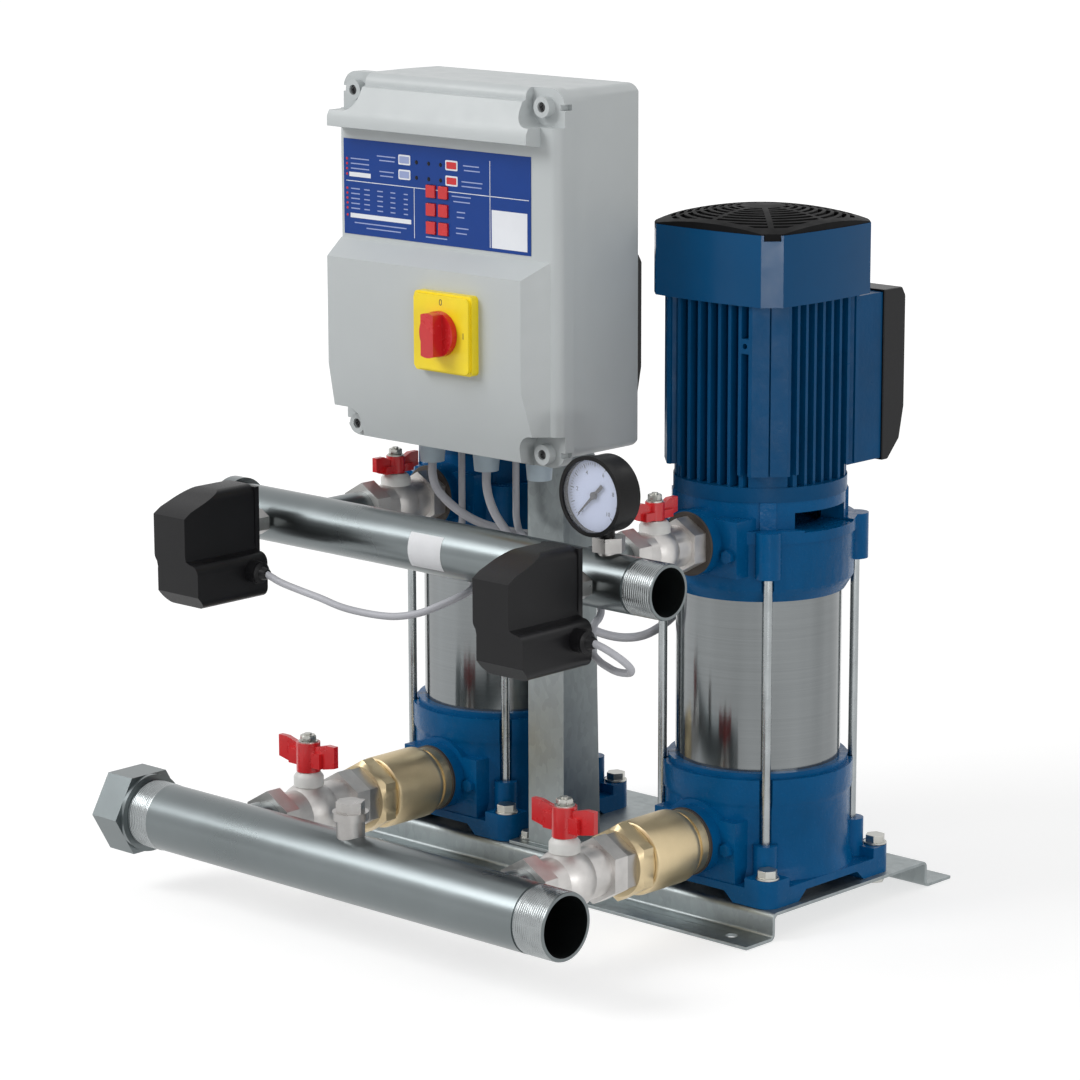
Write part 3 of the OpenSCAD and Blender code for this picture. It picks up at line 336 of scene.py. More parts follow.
def make_metals(c):
    """Sheet, pipe, rods, fittings and castings of bare or plated metal."""
    r = Recipe("galvanised_sheet", metal=1.0)
    spangle, fine = r.cells(190.0, (1, 1, 0.6)), r.noise(30.0, 5.0, 0.7)
    r.drift(spangle, c.galvanised, 0.93, 1.07, (0, 1))
    r.gloss(r.spread(fine, 0.36, 0.50))
    r.bump(r.noise(700.0, 3.0, 0.6), 0.00004)
    r.done()

    r = Recipe("drawn_stainless", metal=1.0)
    line, cloud = r.noise(1.0, 3.0, 0.6, (6, 6, 1300)), r.noise(7.0, 3.0, 0.5)
    # Painted reflections: broad vertical bands switch the sleeves' tone between a dark shade and a
    # bright shade (clear), as painted dark and bright reflection streaks
    painted_reflection_band = r.noise(1.0, 2.0, 0.5, (24, 24, 1.0))
    painted_dark_reflection = r.mix(r.spread(line, 0, 1), shade(c.stainless, 0.70), shade(c.stainless, 0.80))
    clear = r.mix(r.spread(line, 0, 1), shade(c.stainless, 1.06), shade(c.stainless, 1.18))
    r.tone(r.mix(r.spread(painted_reflection_band, 0, 1), painted_dark_reflection, clear))
    r.gloss(r.spread(cloud, 0.11, 0.16))
    fill(r.shader, Anisotropic=0.6)
    r.link(r.add("CombineXYZ", Z=1.0).outputs[0], r.shader.inputs["Tangent"])
    r.bump(line, 0.000006)
    r.done()

    r = Recipe("drawn_pipe", metal=1.0)
    cloud, line = r.noise(9.0, 4.0, 0.6), r.noise(1.0, 4.0, 0.6, (16, 240, 240))
    r.drift(cloud, c.pipe, 0.92, 1.06)
    r.gloss(r.spread(cloud, 0.26, 0.34))
    r.bump(line, 0.000015)
    r.bump(r.noise(300.0, 3.0, 0.6), 0.000008)
    r.done()

    r = Recipe("cast_brass", metal=1.0)
    cloud, fine = r.noise(24.0, 3.0, 0.55), r.noise(520.0, 3.0, 0.6)
    r.drift(cloud, c.brass, 0.92, 1.06)
    r.gloss(r.spread(fine, 0.36, 0.48))
    r.bump(fine, 0.00006)
    r.done()

    plain("zinc_fixings", (0.46, 0.46, 0.43), 0.34, metal=1.0, patch=60.0, swing=0.14,
          grain=((900.0, 0.00003),))
    plain("rod_steel", shade(c.stainless, 1.5), 0.26, metal=1.0, patch=40.0,
          grain=((1200.0, 0.00001),))
    plain("machined_steel", (0.32, 0.34, 0.345), 0.24, metal=1.0, patch=70.0,
          stretch=(30, 1, 1), grain=((900.0, 0.00002),))
    plain("core_steel", (0.40, 0.40, 0.41), 0.45, metal=1.0, stretch=(1, 1, 20),
          grain=((500.0, 0.00005),))
    plain("plated_fittings", shade(c.nickel, 0.66), 0.34, metal=1.0, patch=50.0,
          grain=((900.0, 0.00003),))
    plain("nickel_plate", c.nickel, 0.46, metal=1.0, patch=55.0, swing=0.08,
          grain=((150.0, 0.00008), (900.0, 0.00003)))


def make_plastics(c):
    """Plastics, films, inks and glass of the panel, the cables and the gauge."""
    plain("panel_moulding", c.panel, 0.42, patch=6.0, swing=0.03,
          grain=((1500.0, 0.000025), (60.0, 0.00010)))
    plain("label_film", c.label, 0.36, level=0.2, patch=25.0, swing=0.05,
          grain=((2200.0, 0.00001),))
    plain("label_white", (0.78, 0.80, 0.84), 0.5, patch=25.0, swing=0.03)
    plain("label_pale", (0.30, 0.36, 0.60), 0.5, patch=25.0, swing=0.05)
    plain("red_moulding", c.red, 0.24, patch=60.0, swing=0.06, grain=((1600.0, 0.00002),))
    plain("yellow_plastic", c.yellow, 0.36, patch=30.0, swing=0.05,
          grain=((1800.0, 0.00002),))
    plain("blackened_screws", (0.05, 0.05, 0.052), 0.4, patch=60.0, level=0.3)
    plain("gland_plastic", (0.52, 0.62, 0.69), 0.42, patch=40.0, swing=0.05)
    plain("cable_jacket", c.cable, 0.46, patch=30.0, swing=0.06, grain=((700.0, 0.00006),))
    plain("white_collar", (0.66, 0.66, 0.64), 0.45, patch=60.0, swing=0.05)
    plain("dark_joint", (0.030, 0.022, 0.016), 0.6, patch=80.0, grain=((500.0, 0.0001),))
    plain("sticker_paper", (0.74, 0.75, 0.77), 0.55, patch=60.0, swing=0.04,
          grain=((900.0, 0.00003),))
    plain("dial_face", (0.60, 0.67, 0.88), 0.40, patch=30.0, swing=0.02)
    plain("dial_ink", (0.02, 0.02, 0.03), 0.5, patch=50.0, swing=0.1)

    r = Recipe("gauge_glass", ior=1.45)
    fill(r.shader, Roughness=0.03, Alpha=0.10)
    r.tone(r.mix(r.noise(20.0), (0.90, 0.92, 0.95, 1), (0.95, 0.96, 0.98, 1)))
    r.done()


# The CAD nodes that wear each finish

NODES_BY_FINISH = {
    "galvanised_sheet": "base_plate panel_post",
    "zinc_fixings": "mounting_bolts",
    "blue_casting_paint": "pump_1_base_casting pump_2_base_casting pump_1_head pump_2_head "
                          "pump_plugs",
    "blue_motor_paint": "pump_1_motor_frame pump_2_motor_frame terminal_boxes",
    "blue_cowl_moulding": "pump_1_fan_cowl pump_2_fan_cowl",
    "grille_moulding": "pump_1_cowl_grille pump_2_cowl_grille",
    "black_moulding": "pump_1_fan pump_2_fan terminal_covers box_glands switch_bases "
                      "switch_covers",
    "drawn_stainless": "sleeves",
    "rod_steel": "tie_rods",
    "machined_steel": "stage_stacks pump_1_rotor pump_2_rotor check_disc_1 check_disc_2",
    "core_steel": "motor_stators",
    "drawn_pipe": "suction_manifold suction_end_cap discharge_manifold discharge_end_cap "
                  "manifold_branches",
    "plated_fittings": "manifold_fittings",
    "nickel_plate": "ball_valve_bodies",
    "cast_brass": "check_valve_bodies",
    "red_coating": "suction_handle_1 suction_handle_2 discharge_handle_1 discharge_handle_2",
    "gauge_enamel": "gauge_case",
    "dial_face": "gauge_dial",
    "dial_ink": "gauge_needle",
    "panel_moulding": "panel_box panel_lid",
    "label_film": "panel_label",
    "yellow_plastic": "isolator_plate",
    "red_moulding": "isolator_knob key_1 key_2 key_3 key_4 key_5 key_6",
    "gland_plastic": "cable_glands",
}
NODE_FINISH = {node: finish for finish, nodes in NODES_BY_FINISH.items() for node in nodes.split()}

# The CAD nodes with rounded edges, as castings or as machined and moulded pieces

CAST_EDGES = ("pump_1_base_casting pump_2_base_casting pump_1_head pump_2_head "
              "terminal_covers switch_covers panel_box panel_lid isolator_knob").split()
MACHINED_EDGES = (
    "base_plate panel_post mounting_bolts pump_1_motor_frame pump_2_motor_frame "
    "pump_1_fan_cowl pump_2_fan_cowl terminal_boxes isolator_plate suction_end_cap "
    "check_valve_bodies ball_valve_bodies manifold_fittings suction_handle_1 "
    "suction_handle_2 discharge_handle_1 discharge_handle_2 key_1 key_2 key_3 key_4 key_5 "
    "key_6").split()
SHARP_OVER = math.radians(30)  # an edge that turns by more than this stays sharp
BEVEL_OVER = math.radians(32)


class BOOSTER_OT_finishes(Operator):
    """Mix the paints, metals and plastics"""
    bl_idname = "booster.finishes"
    bl_label = "Finishes"

    def execute(self, context):
        for make in (make_paints, make_metals, make_plastics):
            make(context.scene.booster_colours)
        return {"FINISHED"}


def clean_normals_group():
    """Node group that joins split corners and keeps the sharper edges sharp."""
    name = "join_and_smooth"
    if name in bpy.data.node_groups:
        return bpy.data.node_groups[name]
    g = bpy.data.node_groups.new(name, "GeometryNodeTree")
    g.interface.new_socket("Geometry", in_out="INPUT", socket_type="NodeSocketGeometry")
    g.interface.new_socket("Geometry", in_out="OUTPUT", socket_type="NodeSocketGeometry")
    add = g.nodes.new
    start, end = add("NodeGroupInput"), add("NodeGroupOutput")
    weld = add("GeometryNodeMergeByDistance")
    weld.inputs["Distance"].default_value = 0.00001
    drop = add("GeometryNodeRemoveAttribute")
    drop.inputs["Name"].default_value = "custom_normal"
    soft = add("GeometryNodeSetShadeSmooth")
    soft.domain = "FACE"
    hard = add("GeometryNodeSetShadeSmooth")
    hard.domain = "EDGE"
    hard.inputs["Shade Smooth"].default_value = False
    angle = add("GeometryNodeInputMeshEdgeAngle")
    over = add("FunctionNodeCompare")
    over.data_type = "FLOAT"
    over.operation = "GREATER_THAN"
    over.inputs[1].default_value = SHARP_OVER
    ln = g.links.new
    ln(start.outputs[0], weld.inputs["Geometry"])
    ln(weld.outputs[0], drop.inputs[0])
    ln(drop.outputs[0], soft.inputs["Geometry"])
    ln(soft.outputs[0], hard.inputs["Geometry"])
    ln(angle.outputs[0], over.inputs[0])
    ln(over.outputs[0], hard.inputs["Selection"])
    ln(hard.outputs[0], end.inputs[0])
    return g


def dress(*names):
    """Give the named CAD nodes their finish and rounded edges."""
    s = sizes()
    for name in names:
        node = NODES[name]
        node.data.materials.clear()
        node.data.materials.append(FINISHES[NODE_FINISH[name]])
        if name not in CAST_EDGES + MACHINED_EDGES:
            continue
        join = node.modifiers.new("join", "NODES")
        join.node_group = clean_normals_group()
        round_edge = node.modifiers.new("edge", "BEVEL")
        round_edge.width = s.edge_cast if name in CAST_EDGES else s.edge_sharp
        round_edge.segments = 2
        round_edge.limit_method = "ANGLE"
        round_edge.angle_limit = BEVEL_OVER
        round_edge.use_clamp_overlap = True
        round_edge.harden_normals = True


# Mesh shop: everything is drawn in row-frame millimetres

def seat(origin, axis=(0, 0, 1)):
    """Matrix whose Z runs along axis from origin."""
    q = Vector((0, 0, 1)).rotation_difference(Vector(axis))
    return Matrix.Translation(origin) @ q.to_matrix().to_4x4()


def piece(name, bm, finish, body="frame", smooth=35.0):
    """Turn a drawing in millimetres into a piece that rides on a body."""
    bmesh.ops.remove_doubles(bm, verts=bm.verts, dist=0.001)
    bmesh.ops.recalc_face_normals(bm, faces=bm.faces)
    mesh = bpy.data.meshes.new(name)
    bm.to_mesh(mesh)
    bm.free()
    mesh.transform(Matrix.Scale(0.001, 4))
    for p in mesh.polygons:
        p.use_smooth = True
    mesh.set_sharp_from_angle(angle=math.radians(smooth))
    mesh.materials.append(FINISHES[finish])
    obj = bpy.data.objects.new(name, mesh)
    bpy.context.scene.collection.objects.link(obj)
    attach(obj, body)


def stitch(bm, a, b):
    """Faces between two rings, or between a ring and a single point."""
    n = max(len(a), len(b))
    for k in range(n):
        j = (k + 1) % n
        corners = []
        for v in (a[k % len(a)], a[j % len(a)], b[j % len(b)], b[k % len(b)]):
            if v not in corners:
                corners.append(v)
        if len(corners) > 2:
            bm.faces.new(corners)


def skin(bm, rings, closed=False):
    """Stitch each ring to the next, and the last to the first if closed."""
    for a, b in zip(rings, rings[1:] + rings[:1] if closed else rings[1:]):
        stitch(bm, a, b)


def turns(steps):
    """Evenly spaced angles round a circle."""
    return [math.tau * k / steps for k in range(steps)]


def ring(bm, at, radius, z, angles):
    """Points round the Z of at; the radius is a number or a function of the angle."""
    reach = radius if callable(radius) else lambda a: radius
    return [bm.verts.new(at @ Vector((reach(a) * math.cos(a), reach(a) * math.sin(a), z)))
            for a in angles]


def revolve(bm, profile, at, steps=64, closed=False):
    """Turn a profile of (radius, height) pairs about the Z of at."""
    skin(bm, [ring(bm, at, r, h, turns(steps) if r else (0.0,)) for r, h in profile], closed)


def prism(bm, outline, at, low, high):
    """Extrude an outline of (x, y) pairs from low to high along the Z of at."""
    a = [bm.verts.new(at @ Vector((x, y, low))) for x, y in outline]
    b = [bm.verts.new(at @ Vector((x, y, high))) for x, y in outline]
    stitch(bm, a, b)
    bm.faces.new(a[::-1])
    bm.faces.new(b)


def rounded(w, h, r, steps=5):
    """Outline of a rectangle with rounded corners, about the origin."""
    pts = []
    for cx, cy, start in ((w / 2 - r, h / 2 - r, 0), (r - w / 2, h / 2 - r, 90),
                          (r - w / 2, r - h / 2, 180), (w / 2 - r, r - h / 2, 270)):
        for i in range(steps + 1):
            a = math.radians(start + 90 * i / steps)
            pts.append((cx + r * math.cos(a), cy + r * math.sin(a)))
    return pts


def thread(bm, at, root, crest, length, pitch, steps=96):
    """A helical ridge between two radii, faded at both ends."""
    rows = int(length / pitch * 6)
    grid = []
    for i in range(rows + 1):
        z = length * i / rows
        fade = min(1.0, i / 4.0, (rows - i) / 4.0)

        def ridge(a):
            turn = (z / pitch - a / math.tau) % 1.0
            return root + (crest - root) * min(1.0, 1.6 * (1 - abs(2 * turn - 1))) * fade

        grid.append(ring(bm, at, ridge, z, turns(steps)))
    skin(bm, grid)


def weld_bead(bm, x, axis, pipe_r, stub_r, thick=1.6, steps=120, sides=8):
    """Rippled bead where a stub pipe along Y meets a manifold along X."""
    rings = []
    for t in turns(steps):
        out = Vector((math.cos(t), 0, math.sin(t)))
        back = math.sqrt(pipe_r ** 2 - (stub_r * math.sin(t)) ** 2)
        middle = Vector((x, axis[0] + back, axis[1])) + out * stub_r
        r = thick * (1 + 0.10 * math.sin(t * 30))
        rings.append([bm.verts.new(
            middle + r * (math.cos(a) * out + Vector((0, math.sin(a), 0))))
            for a in turns(sides)])
    skin(bm, rings, closed=True)


def wrapped_label(bm, axis, x0, x1, inner, outer, reach=38, step=4):
    """Thin label round the front of a pipe along X, to reach degrees above and below."""
    rows = [[bm.verts.new((x, axis[0] - r * math.cos(math.radians(t)),
                           axis[1] + r * math.sin(math.radians(t))))
             for t in range(-reach, reach + 1, step)] for r in (inner, outer) for x in (x0, x1)]
    for a, b in ((0, 1), (3, 2), (2, 0), (1, 3)):
        for k in range(len(rows[a]) - 1):
            bm.faces.new((rows[a][k], rows[a][k + 1], rows[b][k + 1], rows[b][k]))
    for k in (0, -1):
        bm.faces.new((rows[0][k], rows[1][k], rows[3][k], rows[2][k]))


def cross_head(bm, at, r, h, arm=0.62, width=0.22, depth=0.55, steps=40):
    """Pan head of a screw with a cross recess; at's Z points away from the seat."""
    w, a = r * width, r * arm
    corners = [(a, w), (w, w), (w, a), (-w, a), (-w, w), (-a, w),
               (-a, -w), (-w, -w), (-w, -a), (w, -a), (w, -w), (a, -w)]
    angles = sorted({round(math.atan2(y, x) % math.tau, 5) for x, y in corners}
                    | {round(a, 5) for a in turns(steps)})

    def reach(t):
        best = 0.0
        for lx, ly in ((a, w), (w, a)):
            cx, sx = abs(math.cos(t)), abs(math.sin(t))
            d = min(lx / cx if cx > 1e-9 else 1e9, ly / sx if sx > 1e-9 else 1e9)
            best = max(best, d)
        return best

    rings = [ring(bm, at, radius, z, angles) for radius, z in (
        (r, 0), (r, h * 0.45), (r * 0.93, h * 0.75), (r * 0.78, h * 0.94), (reach, h),
        (reach, h * (1 - depth)))]
    skin(bm, rings)
    bm.faces.new(rings[-1])
    bm.faces.new(rings[0][::-1])


def hexagon(bm, at, flats, low, high, chamfer=0.12, bore=0.0):
    """Hexagon nut with turned corners, solid or with a bore."""
    def within(limit):
        return lambda a: min(limit, flats / 2 / math.cos(
            (a + math.pi / 6) % (math.pi / 3) - math.pi / 6))

    around = turns(48)
    corner, brim, drop = flats / math.sqrt(3), flats / 2 * 0.98, flats * chamfer * 0.5
    rings = [ring(bm, at, within(limit), z, around) for limit, z in (
        (brim, low), (corner, low + drop), (corner, high - drop), (brim, high))]
    if bore:
        rings += [ring(bm, at, bore, z, around) for z in (high, low)]
    else:
        bm.faces.new(rings[0][::-1])
        bm.faces.new(rings[-1])
    skin(bm, rings, closed=bool(bore))


def figures(bm, text, at, size, depth):
    """Plain figures as thin solids, centred on the origin of at."""
    curve = bpy.data.curves.new("figures", "FONT")
    curve.body = text
    curve.size = size
    curve.align_x = curve.align_y = "CENTER"
    curve.extrude = depth / 2
    holder = bpy.data.objects.new("figures", curve)
    bpy.context.scene.collection.objects.link(holder)
    bpy.context.view_layer.update()
    mesh = bpy.data.meshes.new_from_object(
        holder.evaluated_get(bpy.context.evaluated_depsgraph_get()))
    bpy.data.objects.remove(holder)
    bpy.data.curves.remove(curve)
    mesh.transform(at)
    bm.from_mesh(mesh)
    bpy.data.meshes.remove(mesh)


def front(x, y, z):
    """Matrix of a drawing that faces the panel's viewer: its x is right and its y is up."""
    return Matrix(((1, 0, 0, x), (0, 0, -1, y), (0, 1, 0, z), (0, 0, 0, 1)))


# Cables: the points of their routes, the same as in the part

CABLES = {
    "switch_cable_1": [
        (-144.5, -343, 309), (-137, -343, 309), (-118, -343, 304), (-96, -341, 300),
        (-74, -338, 296), (-54, -334, 291), (-35, -328, 288), (-13, -322, 287),
        (2, -316, 288), (18, -308, 292), (32, -298, 299), (40, -284, 305), (38, -266, 308),
        (20, -244, 308), (-14, -218, 307), (-50, -190, 305), (-84, -160, 303),
        (-106, -136, 304), (-116, -120, 312), (-119, -114, 326), (-119, -114, 345),
        (-119, -114, 390)],
    "switch_cable_2": [
        (243.5, -343, 309), (252, -343, 309), (262, -343, 307), (272, -341.5, 303),
        (280, -338, 297.5), (283.5, -333.5, 291.5), (279.5, -329, 286.5), (270, -326, 284),
        (258, -323, 283), (246, -319.5, 284), (234, -316, 286), (222, -311, 290),
        (212, -303, 296), (204, -292, 302), (196, -280, 306), (186, -264, 306),
        (174, -248, 308), (158, -234, 310), (134, -220, 313), (104, -206, 317),
        (70, -190, 321), (36, -172, 324), (4, -151, 325), (-24, -131, 324),
        (-42, -119, 326), (-50, -114.5, 336), (-51, -114, 350), (-51, -114, 390)],
    "motor_cable_1": [
        (-126, -145, 384), (-126, -145, 372), (-124, -143, 360), (-119, -138, 350),
        (-111, -131, 340), (-100, -121, 330), (-89, -107, 322), (-80, -90, 316),
        (-73, -68, 311), (-68, -42, 308), (-66, -14, 308), (-66, 16, 312), (-70, 40, 322),
        (-82, 56, 334), (-100, 64, 344), (-118, 66, 354), (-127.5, 66.5, 366),
        (-127.5, 66.5, 378)],
    "motor_cable_2": [
        (-58, -145, 384), (-58, -145, 370), (-56, -143, 356), (-52, -139, 342),
        (-45, -133, 328), (-36, -127, 312), (-26, -122, 295), (-14, -117, 278),
        (0, -111, 262), (16, -103, 248), (32, -92, 239), (47, -80, 235), (59, -66, 236),
        (66, -51, 242), (68, -32, 251), (67, -10, 266), (66, 12, 287), (70, 34, 309),
        (81, 53, 328), (98, 63, 342), (117, 66, 353), (127.5, 66.5, 366),
        (127.5, 66.5, 378)],
}


def smooth_line(points, parts=6):
    """Points on a Catmull-Rom curve through the given ones."""
    ext = [points[0]] + list(points) + [points[-1]]
    out = []
    for a, b, c, d in zip(ext, ext[1:], ext[2:], ext[3:]):
        for i in range(parts):
            t = i / parts
            out.append(tuple(0.5 * (2 * q + (r - p) * t + (2 * p - 5 * q + 4 * r - s) * t * t
                                    + (3 * q - p - 3 * r + s) * t ** 3)
                             for p, q, r, s in zip(a, b, c, d)))
    out.append(points[-1])
    return out


def line_length(points):
    return sum((Vector(b) - Vector(a)).length for a, b in zip(points, points[1:]))


def cable(name, diameter, stiffness):
    """A round cable on the smooth line through its route."""
    route = [tuple(v * 0.001 for v in p) for p in smooth_line(CABLES[name])]
    curve = bpy.data.curves.new(name + "_line", "CURVE")
    curve.dimensions = "3D"
    curve.bevel_depth = diameter / 2
    curve.bevel_resolution = 5
    curve.use_fill_caps = True
    spline = curve.splines.new("POLY")
    spline.points.add(len(route) - 1)
    for point, p in zip(spline.points, route):
        point.co = (*p, 1.0)
    spline.use_smooth = True
    curve.materials.append(FINISHES["cable_jacket"])
    obj = bpy.data.objects.new(name + "_run", curve)
    bpy.context.scene.collection.objects.link(obj)
    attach(obj, "frame")
    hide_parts(name)
    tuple(route[0])
    line_length(route)


# Studio

def seen_rays(tree):
    """Socket that is 1 for rays of the camera, of reflections and through glass, else 0."""
    path = tree.nodes.new("ShaderNodeLightPath")
    total = path.outputs["Is Camera Ray"]
    for name in ("Is Glossy Ray", "Is Transmission Ray"):
        both = tree.nodes.new("ShaderNodeMath")
        both.operation = "MAXIMUM"
        tree.links.new(total, both.inputs[0])
        tree.links.new(path.outputs[name], both.inputs[1])
        total = both.outputs[0]
    return total


def set_camera(scene, s):
    """Look at the target along the bearing and the pitch."""
    a, p = s.bearing, s.pitch
    look = Vector((-math.sin(a) * math.cos(p), math.cos(a) * math.cos(p), -math.sin(p)))
    right = Vector((math.cos(a), math.sin(a), 0))
    turned = Matrix((right, right.cross(look), -look)).transposed().to_4x4()
    cam = bpy.data.objects.new("camera", bpy.data.cameras.new("camera"))
    cam.matrix_world = Matrix.Translation(CAMERA_TARGET - look * s.distance) @ turned
    cam.data.lens = s.focal
    cam.data.sensor_width = 36.0
    cam.data.shift_x, cam.data.shift_y = CAMERA_SHIFT
    cam.data.clip_end = 200.0
    scene.collection.objects.link(cam)
    scene.camera = cam


def lay_floor(scene, s):
    """Pale floor that glows where it is seen, and more so far from the set."""
    bm = bmesh.new()
    prism(bm, rounded(FLOOR_WIDTH, FLOOR_WIDTH, FLOOR_CORNER, 8), Matrix.Identity(4),
          -40, -0.4)
    mesh = bpy.data.meshes.new("floor")
    bm.to_mesh(mesh)
    bm.free()
    mesh.transform(Matrix.Scale(0.001, 4))
    floor = bpy.data.objects.new("floor", mesh)
    scene.collection.objects.link(floor)
    r = Recipe("floor_paint", level=0.1)
    tone = s.floor_tone
    r.tone(r.mix(r.noise(3.0), (tone, tone, tone, 1), (tone * 1.01, tone * 1.01, tone, 1)))
    fill(r.shader, Roughness=0.9, Emission_Color=(1, 1, 1, 1))
    away = r.add("VectorMath")
    away.operation = "LENGTH"
    r.link(r.place, away.inputs[0])
    glow = r.add("Math")
    glow.operation = "MULTIPLY"
    r.link(seen_rays(r.tree), glow.inputs[0])
    r.link(r.spread(away.outputs["Value"], s.floor_glow, s.far_glow, GLOW_RISE),
           glow.inputs[1])
    r.link(glow.outputs[0], r.shader.inputs["Emission Strength"])
    mesh.materials.append(r.done())


def hang_lamps(scene, s):
    """Soft rectangular lamps, all aimed at the middle of the set."""
    for name, power, spot, width, height in LAMPS:
        lamp = bpy.data.lights.new(name, "AREA")
        lamp.energy = getattr(s, power)
        lamp.shape = "RECTANGLE"
        lamp.size, lamp.size_y = width, height
        obj = bpy.data.objects.new(name, lamp)
        obj.location = spot
        aim = LAMP_TARGET - Vector(spot)
        obj.rotation_euler = aim.to_track_quat("-Z", "Y").to_euler()
        scene.collection.objects.link(obj)


def light_room(scene, s):
    """Even light from all round, and white where the room itself is seen."""
    world = bpy.data.worlds.new("room")
    world.use_nodes = True
    scene.world = world
    tree = world.node_tree
    back = fill(tree.nodes["Background"], Color=(1, 1, 1, 1), Strength=s.room)
    seen = fill(tree.nodes.new("ShaderNodeBackground"), Color=(1, 1, 1, 1))
    mix = tree.nodes.new("ShaderNodeMixShader")
    tree.links.new(seen_rays(tree), mix.inputs["Fac"])
    tree.links.new(back.outputs[0], mix.inputs[1])
    tree.links.new(seen.outputs[0], mix.inputs[2])
    tree.links.new(mix.outputs[0], tree.nodes["World Output"].inputs["Surface"])


class BOOSTER_OT_studio(Operator):
    """Lay the floor, hang the lamps and set the camera"""
    bl_idname = "booster.studio"
    bl_label = "Studio"

    def execute(self, context):
        context.scene.view_settings.view_transform = "Standard"
        for step in (set_camera, lay_floor, hang_lamps, light_room):
            step(context.scene, context.scene.booster_studio)
        return {"FINISHED"}


# Pieces of the set

class BOOSTER_OT_base(Operator):
    """Finish the base plate, the post and the fixings"""
    bl_idname = "booster.base"
    bl_label = "Base and post"

    def execute(self, context):
        dress("base_plate", "panel_post", "mounting_bolts")
        return {"FINISHED"}


PORT_SEALS = (  # height, bore, outer radius, chamfered radius, thickness
    (SUCTION[1], 27.9, 30.6, 29.9, 3.2), (DISCHARGE[1], 15.0, 28.4, 27.6, 1.4))


class BOOSTER_OT_pumps(Operator):
    """Finish castings, sleeves and rods, and seal the ports"""
    bl_idname = "booster.pumps"
    bl_label = "Pumps"

    def execute(self, context):
        dress("sleeves", "tie_rods", "stage_stacks", "pump_plugs", "check_disc_1",
              "check_disc_2")
        for n in (1, 2):
            dress("pump_%d_base_casting" % n, "pump_%d_head" % n)
        bm = bmesh.new()
        for x in PUMP_X:
            for z, bore, outer, brim, thick in PORT_SEALS:
                revolve(bm, [(bore, -0.2), (outer, -0.2), (outer, thick - 0.8), (brim, thick),
                             (bore, thick)], seat((x, PORT_Y, z), FORWARD), closed=True)
        piece("port_seals", bm, "dark_joint")
        return {"FINISHED"}


COVER_SCREWS = ((-42, 447), (-42, 533), (42, 447), (42, 533))  # from the motor's axis


class BOOSTER_OT_motors(Operator):
    """Finish motors, cowls and boxes, and screw their covers down"""
    bl_idname = "booster.motors"
    bl_label = "Motors"

    def execute(self, context):
        for n in (1, 2):
            dress(*[s % n for s in ("pump_%d_motor_frame", "pump_%d_fan_cowl",
                                    "pump_%d_cowl_grille", "pump_%d_rotor", "pump_%d_fan")])
        dress("motor_stators", "terminal_boxes", "terminal_covers", "box_glands")
        bm = bmesh.new()
        for x in PUMP_X:
            for dx, z in COVER_SCREWS:
                cross_head(bm, seat((x + dx, COVER_Y, z), BACKWARD), 3.6, 2.2)
        piece("cover_screws", bm, "zinc_fixings")
        return {"FINISHED"}


PIPE_THREADS = (  # piece, manifold, start along x, length, root and crest radius
    ("suction_cap_thread", SUCTION, -259.6, 24, 30.17, 30.6),
    ("suction_thread_ridges", SUCTION, 216, 32.5, 29.45, 30.0),
    ("discharge_thread_ridges", DISCHARGE, 241, 30.5, 23.45, 24.0))


class BOOSTER_OT_pipes(Operator):
    """Finish the manifolds, cut their threads and stick the blank label on"""
    bl_idname = "booster.pipes"
    bl_label = "Manifolds"

    def execute(self, context):
        dress("suction_manifold", "suction_end_cap", "discharge_manifold",
              "discharge_end_cap", "manifold_branches", "manifold_fittings")
        pitch = sizes().pitch_pipe * 1000
        for name, axis, start, length, root, crest in PIPE_THREADS:
            bm = bmesh.new()
            thread(bm, seat((start, *axis), RIGHTWARD), root, crest, length, pitch)
            piece(name, bm, "machined_steel")
        bm = bmesh.new()
        wrapped_label(bm, DISCHARGE, -6, 33, 24.18, 24.32)
        piece("blank_sticker", bm, "sticker_paper")
        bm = bmesh.new()
        for x in PUMP_X:
            weld_bead(bm, x, SUCTION, 30.15, 21.2)
            weld_bead(bm, x, DISCHARGE, 24.15, 16.9)
        piece("weld_beads", bm, "drawn_pipe", smooth=60)
        return {"FINISHED"}


# Profiles of the valves, in pairs of radius and height

CHECK_BARREL = ((27.0, 16.6), (29.8, 16.6), (31.6, 17.6), (33.0, 20.4), (33.2, 24.0),
                (33.2, 71.0), (32.4, 73.6), (30.6, 74.6), (27.0, 74.6))
BARREL_HEX = (60.5, 75.0, 94.5)  # across flats, from, to
NECK_COLLAR = ((13.02, 0), (13.7, 0.4), (13.7, 8.6), (12.6, 10.4), (10.6, 12.8),
               (10.02, 12.8), (10.02, 10.0), (13.02, 9.0))
VALVE_NECKS = (  # kind, stem's y, foot of the collar, top of the handle, nut across flats
    ("suction", SUCTION_STEM_Y, SUCTION[1] + 25.3, 140, 13),
    ("discharge", DISCHARGE_STEM_Y, DISCHARGE[1] + 14.8, 387, 11))


